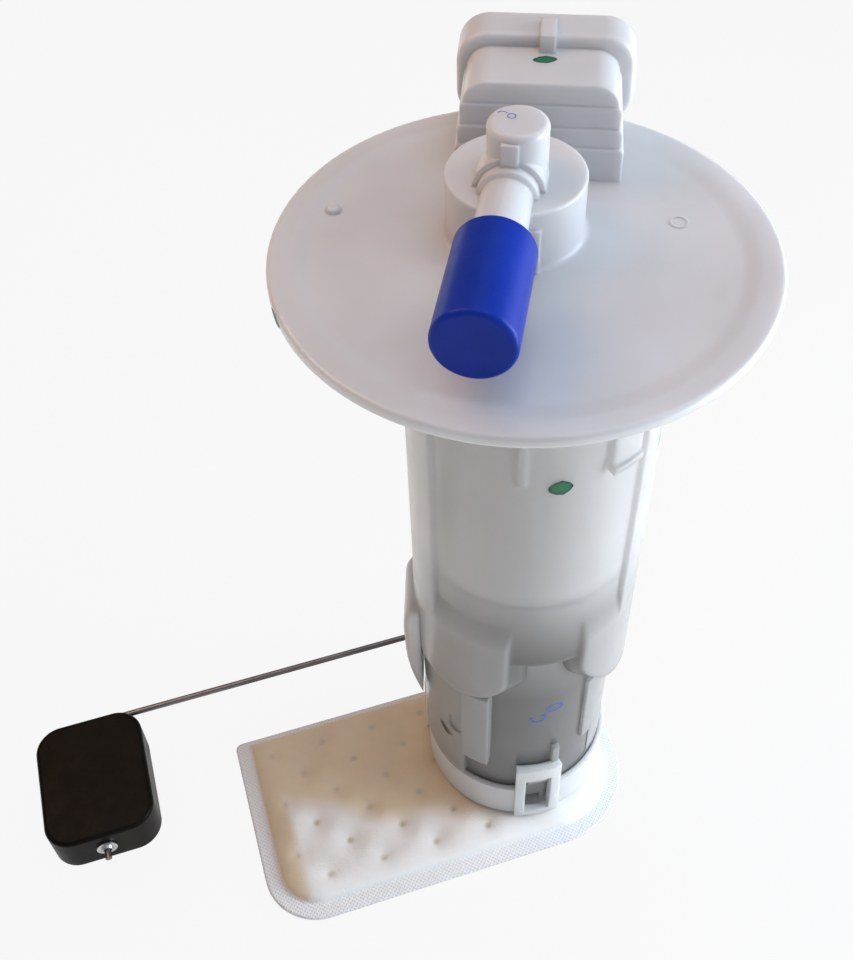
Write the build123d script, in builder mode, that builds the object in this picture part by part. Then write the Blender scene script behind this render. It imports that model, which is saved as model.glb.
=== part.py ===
"""In-tank fuel pump module: flange, filter case, electric pump, strainer and level sender.

Millimetres, +Z up. The origin is on the flange axis, in the flange's seat on the tank.
+Y points at the electrical socket's mouth and -Y along the fuel outlet.
"""
import os
from math import cos, degrees, pi, radians, sin

from build123d import *

os.makedirs("parts", exist_ok=True)

# ---------------------------------------------------------------- clearances
slip = 0.3            # parts that are put together by hand
running = 0.05        # shafts in their bushes, radial
end_play = 0.1        # turning parts against what stands beside them

# ---------------------------------------------------------------- flange
flange_radius = 60.0
flange_thickness = 4.0
flange_step_radius = 58.8
flange_step_height = 1.4
flange_rim_round = 1.1
dish_radius = 54.8
dish_slope = 5.0
dish_depth = 0.7
spigot_radius = 47.5
spigot_wall = 2.2
spigot_depth = 7.0
nub_place = (-46.7, 12.3)
nub_radius = 1.9
nub_height = 1.3
ring_mark_place = (36.1, 13.2)
ring_mark_radius = 2.3
ring_mark_width = 0.5
ring_mark_height = 0.2

# ---------------------------------------------------------------- outlet on the flange
boss_x = -2.8
boss_y = 8.8
boss_radius = 16.5
boss_height = 15.0
boss_wall = 2.4
boss_foot_round = 1.5
tower_x = -2.7
tower_radius = 7.1
tower_height = 28.3
tower_round = 1.5
outlet_x = -3.6
outlet_turn = 5.0
riser_bore = 2.8
pipe_height = 14.4
pipe_root_radius = 6.05
pipe_root_reach = 29.4
pipe_radius = 3.95
pipe_bead_radius = 5.1
pipe_bead_length = 2.0
pipe_bead_setback = 18.0
pipe_reach = 55.6
pipe_bore = 2.6
arch_half_width = 8.4
arch_reach = 7.2
saddle_reach = 16.4
saddle_height = 11.5
neck_rib_width = 4.0
neck_rib_depth = 7.0
neck_rib_setback = 1.6

# ---------------------------------------------------------------- outlet cap
cap_radius = 9.25
cap_wall = 1.6
cap_start = 27.9
cap_length = 30.6
cap_end_wall = 1.8
cap_rib_count = 6
cap_rib_width = 1.4

# ---------------------------------------------------------------- electrical socket
socket_x = 1.9
socket_half_width = 18.8
socket_front = 30.2
socket_mouth = 57.5
socket_height = 25.0
socket_corner = 6.0
socket_step = 0.6
socket_step_heights = (9.0, 14.0, 19.5)
socket_edge_round = 0.5
collar_x = 2.6
collar_half_width = 22.1
collar_length = 11.0
collar_low = 3.6
collar_high = 27.3
collar_corner = 8.0
collar_round = 1.6
cavity_half_width = 16.8
cavity_half_height = 6.6
cavity_middle = 15.6
cavity_depth = 19.0
cavity_corner = 3.0
key_x = 2.8
key_width = 4.0
key_length = 9.0
key_height = 1.3
blade_pitch = 8.2
blade_width = 2.8
blade_thickness = 0.8
blade_reach = 13.0
blade_tail = 9.0

# ---------------------------------------------------------------- upper housing (filter case)
housing_x = 4.0
case_wall = 3.1
case_bottom = -124.0
case_collar_relief = 1.6
case_collar_height = 13.0
case_partition = -98.0
case_partition_wall = 2.2
rail_relief = 1.2
rail_bottom = -116.0
rail_bevel = 2.5
left_rail = (150.0, 225.0)
right_rail = (-37.0, 22.0)
pod_relief = 1.35
pod_top = -104.0
pod_blend = 12.0
pod_bottom = -147.0
left_pod_middle = -149.5
left_pod_half_width = 27.2
left_pod_corner = 13.0
right_pod_middle = -9.0
right_pod_half_width = 25.0
right_pod_low = -152.0
swell_angle = 184.0
swell_relief = 7.9
swell_top = -126.5
swell_crest = -147.0
swell_bottom = -177.0
swell_width = 24.0
swell_round = 2.5
ring_wall = 2.0
ring_depth = 12.0
latch_angles = (-46.5, 133.5)
latch_width = 9.4
latch_bottom = -41.5
latch_lip = 0.9
latch_lip_height = 2.2
rib_angles = (-93.2, 86.8)
rib_width = 2.9
rib_bottom = -41.5
rib_relief = 1.4

# ---------------------------------------------------------------- filter
filter_top = -26.0
filter_radius = 27.6
filter_inner_radius = 15.5
pleat_count = 36
pleat_paper = 0.9
core_radius = 14.2
core_wall = 1.2
core_hole_radius = 2.0
core_hole_rows = 5
core_holes_round = 8
end_cap_height = 2.6
end_cap_rim = 1.4
cover_gap = 2.5
cover_height = 3.0
neck_radius = 5.4
neck_top = 13.0
neck_bore = 2.8
o_ring_section = 1.3

# ---------------------------------------------------------------- pressure regulator
regulator_x = 21.0
regulator_y = -8.0
regulator_radius = 8.4
regulator_wall = 0.8
regulator_low_height = 6.0
regulator_high_height = 7.5
regulator_stem_radius = 3.0
regulator_seat_radius = 1.5

# ---------------------------------------------------------------- pump
pump_radius = 19.0
pump_wall = 1.2
pump_top = -120.0
pump_bottom = -198.0
bush_radius = 4.0
bush_height = 4.0
plate_hub_radius = 9.0
plate_hub_height = 2.5
outlet_cover_height = 10.0
outlet_cover_radius = 16.5
nipple_radius = 4.4
nipple_y = 9.0
nipple_top_wall = 2.9
nipple_bore = 3.0
valve_head_radius = 2.7
valve_seat_bore = 1.8
shaft_radius = 1.6
core_stack_radius = 12.6
core_stack_length = 37.0
motor_gap = 1.5
core_slots = 8
winding_radius = 11.2
winding_height = 6.0
commutator_radius = 6.2
commutator_height = 8.0
magnet_thickness = 3.2
magnet_span = 120.0
impeller_radius = 15.4
impeller_thickness = 3.8
impeller_blades = 31
channel_rim = 0.6
channel_width = 3.8
channel_depth = 1.4
channel_start = -140.0
channel_end = 130.0
chamber_plate_height = 6.0
inlet_cover_height = 6.0
inlet_offset = 8.0
inlet_radius = 4.6
inlet_bore = 3.2
inlet_length = 9.0

# ---------------------------------------------------------------- lower shell and bottom cup
shell_radius = 29.6
shell_wall = 1.8
shell_top = -104.0
shell_floor = 2.0
cushion_floor = 8.0
cushion_grip = 14.0
cushion_grooves = 12
collar_height = 9.0
collar_setback = 4.0
collar_grooves = 8
pad_gap = 0.5
pad_bottom = -204.0
left_pad_relief = 2.6
left_pad_span = (-178.0, -122.0)
left_bar_relief = 4.0
left_bar_span = (-121.8, -105.2)
left_bar_bottom = -188.0
right_pad_relief = 0.3
right_pad_span = (-33.0, 28.0)
right_bar_relief = 1.3
right_bar_span = (-44.0, -33.2)
right_bar_top = -149.5
right_bar_bottom = -184.5
shell_fin_angle = -63.5
shell_fin_width = 2.2
shell_fin_relief = 1.8
shell_fin_low = -190.6
shell_fin_high = -181.0
vent_slot_angle = -136.5
vent_slot_height = -182.5
vent_slot_width = 2.0
vent_slot_length = 7.0
dimple_angle = -127.8
dimple_height = -174.5
dimple_width = 5.5
dimple_length = 9.0
dimple_depth = 0.7
feed_angles = (75.0, 150.0)
feed_height = -152.0
feed_width = 5.0
feed_length = 14.0
cup_wall = 1.8
cup_height = 17.5
cup_floor = 2.0
cup_space = 8.0
cup_rib_count = 8
cup_rib_width = 1.6
loop_height = 32.7
loop_relief = 1.3
loop_span = 28.0
loop_window_span = 15.5
loop_bar = 7.0
loop_sill = 1.0
wedge_height = 9.0
port_hole_clearance = 0.6
loop_angles = (-74.0, 46.0, 166.0)

# ---------------------------------------------------------------- strainer
sock_height = 6.5
sock_gap = 0.5
sock_angle = 22.5
sock_left = -97.0
sock_right = 38.0
sock_near = -45.2
sock_far = 28.6
sock_corner_near_left = 19.0
sock_corner_far_left = 2.5
sock_corner_right = 30.0
sock_band = 5.4
sock_band_thickness = 1.2
sock_band_lift = 1.4
sock_skin = 0.8
frame_rib = 1.8
frame_thickness = 1.6
port_radius = 6.5
port_wall = 1.6
port_overlap = 7.0

# ---------------------------------------------------------------- level sender and float
sender_gap = 1.4
sender_thickness = 3.0
sender_width = 34.0
sender_top = -166.0
sender_bottom = -219.0
hinge_along = -4.1
hinge_height = -202.0
hinge_pin_radius = 2.0
card_width = 26.0
card_height = 12.0
card_thickness = 0.7
card_lift = 16.0
hub_gap = 0.6
hub_radius = 7.0
hub_depth = 5.2
lever_height = 9.4
wire_radius = 1.1
wire_inset = 0.5
wire_height = -206.0
wire_bend = 2.2
float_along = 144.4
float_width = 36.4
float_length = 45.8
float_gap = 2.4
float_cap_length = 9.8
float_thickness = 17.0
float_corner = 9.0
float_edge = 1.6
float_hole_lift = 0.5
wire_stub = 4.5
nut_radius = 3.4
nut_thickness = 0.5

# ---------------------------------------------------------------- derived places
along = Vector(cos(radians(sock_angle)), sin(radians(sock_angle)), 0)
across = Vector(-sin(radians(sock_angle)), cos(radians(sock_angle)), 0)
outlet_way = Vector(-sin(radians(outlet_turn)), -cos(radians(outlet_turn)), 0)
outlet_side = Vector(cos(radians(outlet_turn)), -sin(radians(outlet_turn)), 0)

flange_top = flange_thickness
dish_floor = flange_top - dish_depth
pipe_z = flange_top + pipe_height
boss_top = flange_top + boss_height
tower_top = flange_top + tower_height
cavity_z = flange_top + cavity_middle

shell_inner = shell_radius - shell_wall
case_inner = shell_radius + slip
case_radius = case_inner + case_wall
case_collar_radius = case_radius + case_collar_relief
rail_radius = case_radius + rail_relief
pod_radius = case_radius + pod_relief
rib_radius = case_radius + rib_relief
left_pad_radius = shell_radius + left_pad_relief
mount_room = shell_inner - pump_radius
cup_inner = shell_radius + slip
cup_radius = cup_inner + cup_wall
loop_radius = cup_radius + loop_relief

can_low = pump_bottom - inlet_cover_height
shell_floor_top = can_low - cushion_floor
shell_bottom = shell_floor_top - shell_floor
cup_floor_top = shell_bottom - cup_space
cup_bottom = cup_floor_top - cup_floor
cup_top = cup_bottom + cup_height
loop_top = cup_bottom + loop_height
sock_top = cup_bottom - sock_gap
floor_height = sock_top - sock_height

filter_bottom = case_partition + case_partition_wall + end_cap_height + 0.2
nipple_top = case_partition - nipple_top_wall
inlet_x = housing_x + inlet_offset

axis_across = housing_x * across.X
sender_back = axis_across + cup_radius + sender_gap
card_face = sender_back + sender_thickness
hub_near = card_face + card_thickness + hub_gap
hub_far = hub_near + hub_depth
hinge_bore = hinge_pin_radius + running
wire_plane = hub_far - wire_inset
float_back = wire_plane - float_gap
float_front = float_back - float_length
float_seam = float_front + float_cap_length
float_centre = (float_front + float_back) / 2


# ---------------------------------------------------------------- helpers
def tube(outer, inner, low, high, x=0.0, y=0.0):
    """Upright tube, or a disc where inner is nought."""
    with BuildPart() as piece:
        with BuildSketch(Plane.XY.offset(low)):
            with Locations((x, y)):
                Circle(outer)
                if inner > 0:
                    Circle(inner, mode=Mode.SUBTRACT)
        extrude(amount=high - low)
    return piece.part


def sector(outer, inner, start, end, low, high, x=housing_x):
    """Upright ring sector about (x, 0) between two angles in degrees."""
    with BuildPart() as piece:
        with BuildSketch(Plane.XY.offset(low)):
            with BuildLine():
                outside = CenterArc((x, 0), outer, start, end - start)
                inside = CenterArc((x, 0), inner, start, end - start)
                Line(outside @ 0, inside @ 0)
                Line(outside @ 1, inside @ 1)
            make_face()
        extrude(amount=high - low)
    return piece.part


def wall_plane(angle, distance, height):
    """Plane that faces out from the housing axis at an angle; its local Y is up."""
    outwards = Vector(cos(radians(angle)), sin(radians(angle)), 0)
    sideways = Vector(-sin(radians(angle)), cos(radians(angle)), 0)
    centre = Vector(housing_x, 0, height) + outwards * distance
    return Plane(origin=centre, x_dir=sideways, z_dir=outwards)


def radial_plane(angle):
    """Upright plane through the housing axis: local X points out at an angle, local Y is up."""
    outwards = Vector(cos(radians(angle)), sin(radians(angle)), 0)
    sideways = Vector(-sin(radians(angle)), cos(radians(angle)), 0)
    return Plane(origin=(housing_x, 0, 0), x_dir=outwards, z_dir=sideways * -1)


def outlet_plane(distance):
    """Plane square to the outlet pipe at a distance from the tower; its local Y is up."""
    return Plane(
        origin=Vector(outlet_x, boss_y, 0) + outlet_way * distance,
        x_dir=outlet_side,
        z_dir=outlet_way,
    )


def across_plane(distance):
    """Plane square to the sender's hinge axis: local X runs out to the float, local Y is up."""
    return Plane(origin=across * distance, x_dir=along * -1, z_dir=across)


def sock_plane(height):
    """Level plane with the strainer's long side as its local X."""
    return Plane(origin=(0, 0, height), x_dir=along, z_dir=(0, 0, 1))


def coil(radius, wire, low, high, turns, x=0.0, y=0.0):
    """Round-wire compression spring standing on its lower end."""
    pitch = (high - low - 2 * wire) / turns
    with BuildPart() as piece:
        with BuildLine():
            path = Helix(pitch=pitch, height=pitch * turns, radius=radius, center=(x, y, low + wire))
        with BuildSketch(Plane(origin=path @ 0, z_dir=path % 0)):
            RegularPolygon(wire, 6)
        sweep(path=path)
    return piece.part


def write(piece, name):
    """Label a finished piece and write its STEP file."""
    piece.part.label = name
    export_step(piece.part, f"parts/{name}.step")


# ---------------------------------------------------------------- terminals
def blade(offset):
    """Terminal blade: tab in the socket, then down through the flange."""
    back = socket_mouth - cavity_depth
    with BuildPart() as piece:
        with Locations((socket_x + offset, back - 3.2, cavity_z)):
            Box(
                blade_width,
                blade_reach + 3.2,
                blade_thickness,
                align=(Align.CENTER, Align.MIN, Align.CENTER),
            )
        with Locations((socket_x + offset, back - 3.2, cavity_z + blade_thickness / 2)):
            Box(
                blade_width,
                blade_thickness,
                cavity_z + blade_thickness / 2 + blade_tail,
                align=(Align.CENTER, Align.MIN, Align.MAX),
            )
        chamfer(piece.faces().sort_by(Axis.Y)[-1].edges().filter_by(Axis.X), blade_thickness * 0.3)
    return piece.part


with BuildPart() as power_terminals:
    for place in (0.5, 1.5):
        add(blade(place * blade_pitch))
write(power_terminals, "power_terminals")

with BuildPart() as sender_terminals:
    for place in (-1.5, -0.5):
        add(blade(place * blade_pitch))
write(sender_terminals, "sender_terminals")

# ---------------------------------------------------------------- flange
def socket_level(spread, height):
    """One step of the socket's body, its long top edges rounded and its front edges eased."""
    with BuildPart() as piece:
        with BuildSketch(Plane.XZ.offset(-socket_mouth)):
            with Locations((socket_x, dish_floor - 1)):
                Rectangle(2 * (socket_half_width + spread), height + 1, align=(Align.CENTER, Align.MIN))
        extrude(amount=socket_mouth - socket_front + spread)
        fillet(piece.edges().filter_by(Axis.Y).group_by(Axis.Z)[-1], socket_corner if spread == 0 else 1.5)
        fillet(piece.faces().sort_by(Axis.Y)[0].edges(), socket_edge_round)
    return piece.part


def socket_collar():
    """Rounded collar round the socket's mouth."""
    with BuildPart() as piece:
        with BuildSketch(Plane.XZ.offset(-socket_mouth)):
            with Locations((collar_x, flange_top + (collar_low + collar_high) / 2)):
                RectangleRounded(2 * collar_half_width, collar_high - collar_low, collar_corner)
        extrude(amount=collar_length)
        fillet(piece.faces().sort_by(Axis.Y)[0].edges(), collar_round)
        fillet(piece.faces().sort_by(Axis.Y)[-1].edges(), 0.5)
    return piece.part


def nub():
    """Rounded gate mark on the plate."""
    with BuildPart() as piece:
        add(tube(nub_radius, 0, dish_floor - 1, dish_floor + nub_height, *nub_place))
        fillet(piece.faces().sort_by(Axis.Z)[-1].edges(), nub_radius * 0.55)
    return piece.part


ring_inner = case_collar_radius + slip
ring_outer = ring_inner + ring_wall
boss_hollow = boss_radius - boss_wall
neck_seat = neck_radius + slip

with BuildPart() as flange:
    add(tube(flange_step_radius, 0, 0, flange_step_height))
    add(tube(flange_radius, 0, flange_step_height, flange_top))
    fillet(flange.faces().sort_by(Axis.Z)[-1].edges(), flange_rim_round)
    # shallow dish with a soft border
    with BuildSketch(Plane.XZ):
        with BuildLine():
            border = Spline(
                (dish_radius - dish_slope, dish_floor),
                (dish_radius, flange_top),
                tangents=((1, 0), (1, 0)),
            )
            Polyline(border @ 1, (dish_radius, flange_top + 1), (0, flange_top + 1), (0, dish_floor), border @ 0)
        make_face()
    revolve(axis=Axis.Z, mode=Mode.SUBTRACT)
    add(tube(spigot_radius, spigot_radius - spigot_wall, -spigot_depth, 0))
    add(tube(ring_outer, ring_inner, -ring_depth, 0, housing_x))
    # boss and tower
    add(tube(boss_radius, 0, dish_floor, boss_top, boss_x, boss_y))
    fillet(flange.faces().filter_by(Plane.XY).group_by(Axis.Z)[-1].edges(), 0.6)
    foot = flange.edges().filter_by(GeomType.CIRCLE).filter_by(
        lambda edge: abs(edge.center().Z - dish_floor) < 0.01 and abs(edge.radius - boss_radius) < 0.01
    )
    fillet(foot, boss_foot_round)
    add(tube(tower_radius, 0, dish_floor, tower_top, tower_x, boss_y))
    fillet(flange.faces().filter_by(Plane.XY).group_by(Axis.Z)[-1].edges(), tower_round)
    # arched block that carries the outlet pipe, its saddle and the rib at the tower's neck
    with BuildSketch(outlet_plane(0)):
        with Locations((0, pipe_z)):
            Circle(arch_half_width)
        with Locations((0, (dish_floor + pipe_z) / 2)):
            Rectangle(2 * arch_half_width, pipe_z - dish_floor)
    extrude(amount=arch_reach)
    with BuildSketch(outlet_plane(arch_reach)):
        with Locations((0, dish_floor + saddle_height / 2)):
            Rectangle(2 * arch_half_width, saddle_height)
    extrude(amount=saddle_reach - arch_reach)
    with BuildSketch(outlet_plane(0)):
        with Locations((0, tower_top - neck_rib_setback - neck_rib_depth / 2)):
            Rectangle(neck_rib_width, neck_rib_depth)
    extrude(amount=arch_reach + 0.9)
    # outlet pipe: thick root, then the quick-connect end with its bead
    bead_start = pipe_root_reach + pipe_bead_setback - pipe_bead_length
    with BuildSketch(Plane(origin=(outlet_x, boss_y, 0), x_dir=outlet_way, z_dir=outlet_side * -1)):
        with BuildLine():
            Polyline(
                (arch_reach, pipe_z),
                (arch_reach, pipe_z + pipe_root_radius + 1.1),
                (arch_reach + 2.6, pipe_z + pipe_root_radius + 1.1),
                (arch_reach + 3.2, pipe_z + pipe_root_radius),
                (pipe_root_reach, pipe_z + pipe_root_radius),
                (pipe_root_reach, pipe_z + pipe_radius),
                (bead_start, pipe_z + pipe_radius),
                (bead_start, pipe_z + pipe_bead_radius),
                (bead_start + pipe_bead_length, pipe_z + pipe_bead_radius),
                (bead_start + pipe_bead_length, pipe_z + pipe_radius),
                (pipe_reach - 0.8, pipe_z + pipe_radius),
                (pipe_reach, pipe_z + pipe_radius - 0.8),
                (pipe_reach, pipe_z),
                close=True,
            )
        make_face()
    revolve(axis=Axis((outlet_x, boss_y, pipe_z), outlet_way))
    # hollow under the boss, riser and pipe bore
    add(tube(boss_hollow, 0, -0.1, boss_top - boss_wall, boss_x, boss_y), mode=Mode.SUBTRACT)
    add(tube(neck_seat + 2.0, 0, neck_top - 8.0, boss_top, tower_x, boss_y))
    add(tube(neck_seat, 0, neck_top - 8.1, neck_top + slip, tower_x, boss_y), mode=Mode.SUBTRACT)
    add(tube(riser_bore, 0, neck_top, pipe_z + 2 * riser_bore, tower_x, boss_y), mode=Mode.SUBTRACT)
    with BuildSketch(outlet_plane(0)):
        with Locations((0, pipe_z)):
            Circle(pipe_bore)
    extrude(amount=pipe_reach + 1, mode=Mode.SUBTRACT)
    # electrical socket: stepped body with a rounded hood, collar round the mouth
    for level, height in enumerate(socket_step_heights):
        add(socket_level(socket_step * (len(socket_step_heights) - level), height))
    add(socket_level(0, socket_height))
    add(socket_collar())
    with BuildSketch(Plane.XZ.offset(-socket_mouth - 0.1)):
        with Locations((socket_x, cavity_z)):
            RectangleRounded(2 * cavity_half_width, 2 * cavity_half_height, cavity_corner)
    extrude(amount=cavity_depth + 0.1, mode=Mode.SUBTRACT)
    with Locations((key_x, socket_mouth - 4.5, flange_top + socket_height - 1.5)):
        Box(
            key_width,
            key_length,
            collar_high - socket_height + 1.5 + key_height,
            align=(Align.CENTER, Align.MAX, Align.MIN),
        )
    # gate nub and ejector ring on the plate, and slots for the terminals
    add(nub())
    add(
        tube(
            ring_mark_radius,
            ring_mark_radius - ring_mark_width,
            dish_floor - 1,
            dish_floor + ring_mark_height,
            *ring_mark_place,
        )
    )
    add(power_terminals.part, mode=Mode.SUBTRACT)
    add(sender_terminals.part, mode=Mode.SUBTRACT)
write(flange, "flange")

# ---------------------------------------------------------------- outlet cap
with BuildPart() as outlet_cap:
    with BuildSketch(outlet_plane(cap_start)):
        with Locations((0, pipe_z)):
            Circle(cap_radius)
    extrude(amount=cap_length)
    fillet(outlet_cap.faces().sort_by(Axis.Y)[0].edges(), 1.3)
    fillet(outlet_cap.faces().sort_by(Axis.Y)[-1].edges(), 0.4)
    with BuildSketch(outlet_plane(cap_start - 0.1)):
        with Locations((0, pipe_z)):
            Circle(cap_radius - cap_wall)
    extrude(amount=cap_length - cap_end_wall + 0.1, mode=Mode.SUBTRACT)
    # ribs inside that grip the pipe's root
    grip_depth = cap_radius - cap_wall + 0.2 - pipe_root_radius - slip
    with BuildSketch(outlet_plane(cap_start + 0.4)):
        with Locations(Location((0, pipe_z))):
            with PolarLocations(pipe_root_radius + slip + grip_depth / 2, cap_rib_count):
                Rectangle(grip_depth, cap_rib_width)
    extrude(amount=cap_length - cap_end_wall - 0.4)
write(outlet_cap, "outlet_cap")

# ---------------------------------------------------------------- upper housing
def pod(middle, half_width, low, corner):
    """Lobe of the case wall that hangs below it; its top runs out into the wall as a cone."""
    with BuildPart() as piece:
        with BuildSketch(wall_plane(middle, 0, 0)) as outline:
            with Locations((0, (low + pod_top) / 2)):
                Rectangle(2 * half_width, pod_top - low)
            fillet(outline.vertices().group_by(Axis.Y)[0], corner)
        extrude(amount=pod_radius + 4)
        add(pod_band(low), mode=Mode.INTERSECT)
    return piece.part


def pod_band(low):
    """Ring that a lobe is cut from, with a conical top."""
    with BuildPart() as piece:
        with BuildSketch(Plane.XZ):
            with BuildLine():
                Polyline(
                    (housing_x + case_inner + slip, low - 1),
                    (housing_x + pod_radius, low - 1),
                    (housing_x + pod_radius, pod_top - pod_blend),
                    (housing_x + case_radius - 0.1, pod_top),
                    (housing_x + case_inner + slip, pod_top),
                    close=True,
                )
            make_face()
        revolve(axis=Axis((housing_x, 0, 0), (0, 0, 1)))
    return piece.part


def rail(start, end):
    """Raised band of the case wall with sloping sides, between two angles."""
    bevel = degrees(rail_bevel / rail_radius)
    with BuildPart() as piece:
        with BuildSketch(Plane.XY.offset(rail_bottom)):
            with BuildLine():
                outside = CenterArc((housing_x, 0), rail_radius, start + bevel, end - start - 2 * bevel)
                inside = CenterArc((housing_x, 0), case_inner + 0.5, start, end - start)
                Line(outside @ 0, inside @ 0)
                Line(outside @ 1, inside @ 1)
            make_face()
        extrude(amount=-case_collar_height - rail_bottom)
    return piece.part


def swell():
    """Rounded bulge low on the case's left side, clear of the shell's pad."""
    inside = left_pad_radius + slip
    outside = shell_radius + swell_relief
    with BuildPart() as piece:
        with BuildSketch(radial_plane(swell_angle)):
            with BuildLine():
                upper = Spline((inside, swell_top), (outside, swell_crest), tangents=((1, -0.3), (0, -1)))
                lower = Spline(upper @ 1, (inside, swell_bottom), tangents=((0, -1), (-0.3, -1)))
                Line(lower @ 1, upper @ 0)
            make_face()
        extrude(amount=swell_width / 2, both=True)
        fillet(piece.edges().filter_by(GeomType.BSPLINE), swell_round)
    return piece.part


socket_outer = nipple_radius + slip + 2.0
socket_low = case_partition - 8.0

with BuildPart() as upper_housing:
    add(tube(case_radius, case_inner, case_bottom, -slip, housing_x))
    add(tube(case_collar_radius, case_inner, -case_collar_height, -slip, housing_x))
    add(rail(*left_rail))
    add(rail(*right_rail))
    add(pod(left_pod_middle, left_pod_half_width, pod_bottom, left_pod_corner))
    add(pod(right_pod_middle, right_pod_half_width, right_pod_low, right_pod_half_width - 0.1))
    add(swell())
    # latch tongues and guide ribs below the flange
    for angle in latch_angles:
        turn = degrees(latch_width / 2 / case_radius)
        add(sector(rib_radius, case_inner + 0.5, angle - turn, angle + turn, latch_bottom, -case_collar_height))
        add(
            sector(
                rib_radius + latch_lip,
                case_inner + 0.5,
                angle - turn,
                angle + turn,
                latch_bottom,
                latch_bottom + latch_lip_height,
            )
        )
    for angle in rib_angles:
        turn = degrees(rib_width / 2 / case_radius)
        add(sector(rib_radius, case_inner + 0.5, angle - turn, angle + turn, rib_bottom, -case_collar_height))
    # partition that closes the filter chamber, with the pump's outlet socket
    add(tube(case_inner + 0.5, 0, case_partition, case_partition + case_partition_wall, housing_x))
    add(tube(socket_outer, 0, socket_low, case_partition, housing_x, nipple_y))
    socket_bore = nipple_radius + slip + 0.7
    add(
        tube(socket_bore, 0, socket_low - 0.1, nipple_top + slip, housing_x, nipple_y),
        mode=Mode.SUBTRACT,
    )
    add(
        tube(nipple_bore, 0, nipple_top, case_partition + 3, housing_x, nipple_y),
        mode=Mode.SUBTRACT,
    )
write(upper_housing, "upper_housing")

# ---------------------------------------------------------------- filter
with BuildPart() as filter_core:
    add(tube(core_radius, core_radius - core_wall, filter_bottom, filter_top, housing_x))
    row_pitch = (filter_top - filter_bottom) / (core_hole_rows + 1)
    for row in range(core_hole_rows):
        for turn in range(core_holes_round):
            angle = 360 / core_holes_round * (turn + 0.5 * (row % 2))
            with BuildSketch(wall_plane(angle, core_radius - core_wall - 1, filter_bottom + row_pitch * (row + 1))):
                Circle(core_hole_radius)
            extrude(amount=core_wall + 2, mode=Mode.SUBTRACT)
write(filter_core, "filter_core")

with BuildPart() as filter_element:
    outer_opening = pi * filter_radius / pleat_count - pleat_paper / 2
    inner_opening = pi * filter_inner_radius / pleat_count - pleat_paper / 2
    half_pitch = 180 / pleat_count
    with BuildSketch(Plane.XY.offset(filter_bottom)):
        with Locations((housing_x, 0)):
            Circle(filter_radius)
            Circle(filter_inner_radius, mode=Mode.SUBTRACT)
        with Locations(Location((housing_x, 0))):
            with PolarLocations(0, pleat_count):
                Polygon(
                    (filter_inner_radius + pleat_paper, 0),
                    (filter_radius + 0.5, -outer_opening),
                    (filter_radius + 0.5, outer_opening),
                    align=None,
                    mode=Mode.SUBTRACT,
                )
            with PolarLocations(0, pleat_count, start_angle=half_pitch):
                Polygon(
                    (filter_radius - pleat_paper, 0),
                    (filter_inner_radius - 0.5, inner_opening),
                    (filter_inner_radius - 0.5, -inner_opening),
                    align=None,
                    mode=Mode.SUBTRACT,
                )
    extrude(amount=filter_top - filter_bottom)
write(filter_element, "filter_element")

for cap_name, low in (("filter_top_cap", filter_top), ("filter_bottom_cap", filter_bottom - end_cap_height)):
    with BuildPart() as end_cap:
        add(tube(filter_radius + end_cap_rim, core_radius - core_wall - 1, low, low + end_cap_height, housing_x))
        fillet(end_cap.edges().filter_by(GeomType.CIRCLE).group_by(SortBy.RADIUS)[-1], 0.5)
    write(end_cap, cap_name)

cover_bottom = filter_top + end_cap_height + cover_gap
cover_top = cover_bottom + cover_height

with BuildPart() as filter_cover:
    add(tube(case_inner - 0.1, 0, cover_bottom, cover_top, housing_x))
    add(tube(neck_radius, 0, cover_top, neck_top, tower_x, boss_y))
    groove_low = neck_top - 5.0
    add(
        tube(neck_radius + 1, neck_radius - o_ring_section, groove_low, groove_low + 1.9, tower_x, boss_y),
        mode=Mode.SUBTRACT,
    )
    add(tube(neck_bore, 0, cover_bottom - 1, neck_top + 1, tower_x, boss_y), mode=Mode.SUBTRACT)
    add(tube(regulator_radius + 1.8, 0, cover_top, cover_top + 4.0, regulator_x, regulator_y))
    add(
        tube(regulator_radius + slip, 0, cover_top, cover_top + 4.1, regulator_x, regulator_y),
        mode=Mode.SUBTRACT,
    )
    add(
        tube(regulator_stem_radius + 1.6, 0, cover_bottom - 1, cover_top + 1, regulator_x, regulator_y),
        mode=Mode.SUBTRACT,
    )
    for angle in range(30, 330, 60):
        with Locations(Location((housing_x, 0, cover_top), (0, 0, angle))):
            with Locations((24.5, 0, 0)):
                Box(8.0, 1.4, 3.0, align=(Align.CENTER, Align.CENTER, Align.MIN))
write(filter_cover, "filter_cover")

with BuildPart() as outlet_o_ring:
    with BuildSketch(Plane.XZ.offset(-boss_y)):
        with Locations((tower_x + neck_radius - 0.45, groove_low + 0.95)):
            Circle(0.7)
    revolve(axis=Axis((tower_x, boss_y, 0), (0, 0, 1)))
write(outlet_o_ring, "outlet_o_ring")

# ---------------------------------------------------------------- pressure regulator
regulator_mid = cover_top + regulator_low_height
regulator_high = regulator_mid + regulator_high_height

with BuildPart() as regulator_body:
    add(tube(regulator_radius, 0, cover_top + 0.1, regulator_mid, regulator_x, regulator_y))
    fillet(regulator_body.faces().sort_by(Axis.Z)[0].edges(), 1.0)
    add(
        tube(
            regulator_radius - regulator_wall,
            0,
            cover_top + 0.1 + regulator_wall,
            regulator_mid + 1,
            regulator_x,
            regulator_y,
        ),
        mode=Mode.SUBTRACT,
    )
    add(tube(regulator_stem_radius, 0, cover_bottom, cover_top + 3.4, regulator_x, regulator_y))
    add(
        tube(regulator_seat_radius, 0, cover_bottom - 0.1, cover_top + 3.5, regulator_x, regulator_y),
        mode=Mode.SUBTRACT,
    )
write(regulator_body, "regulator_body")

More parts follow.
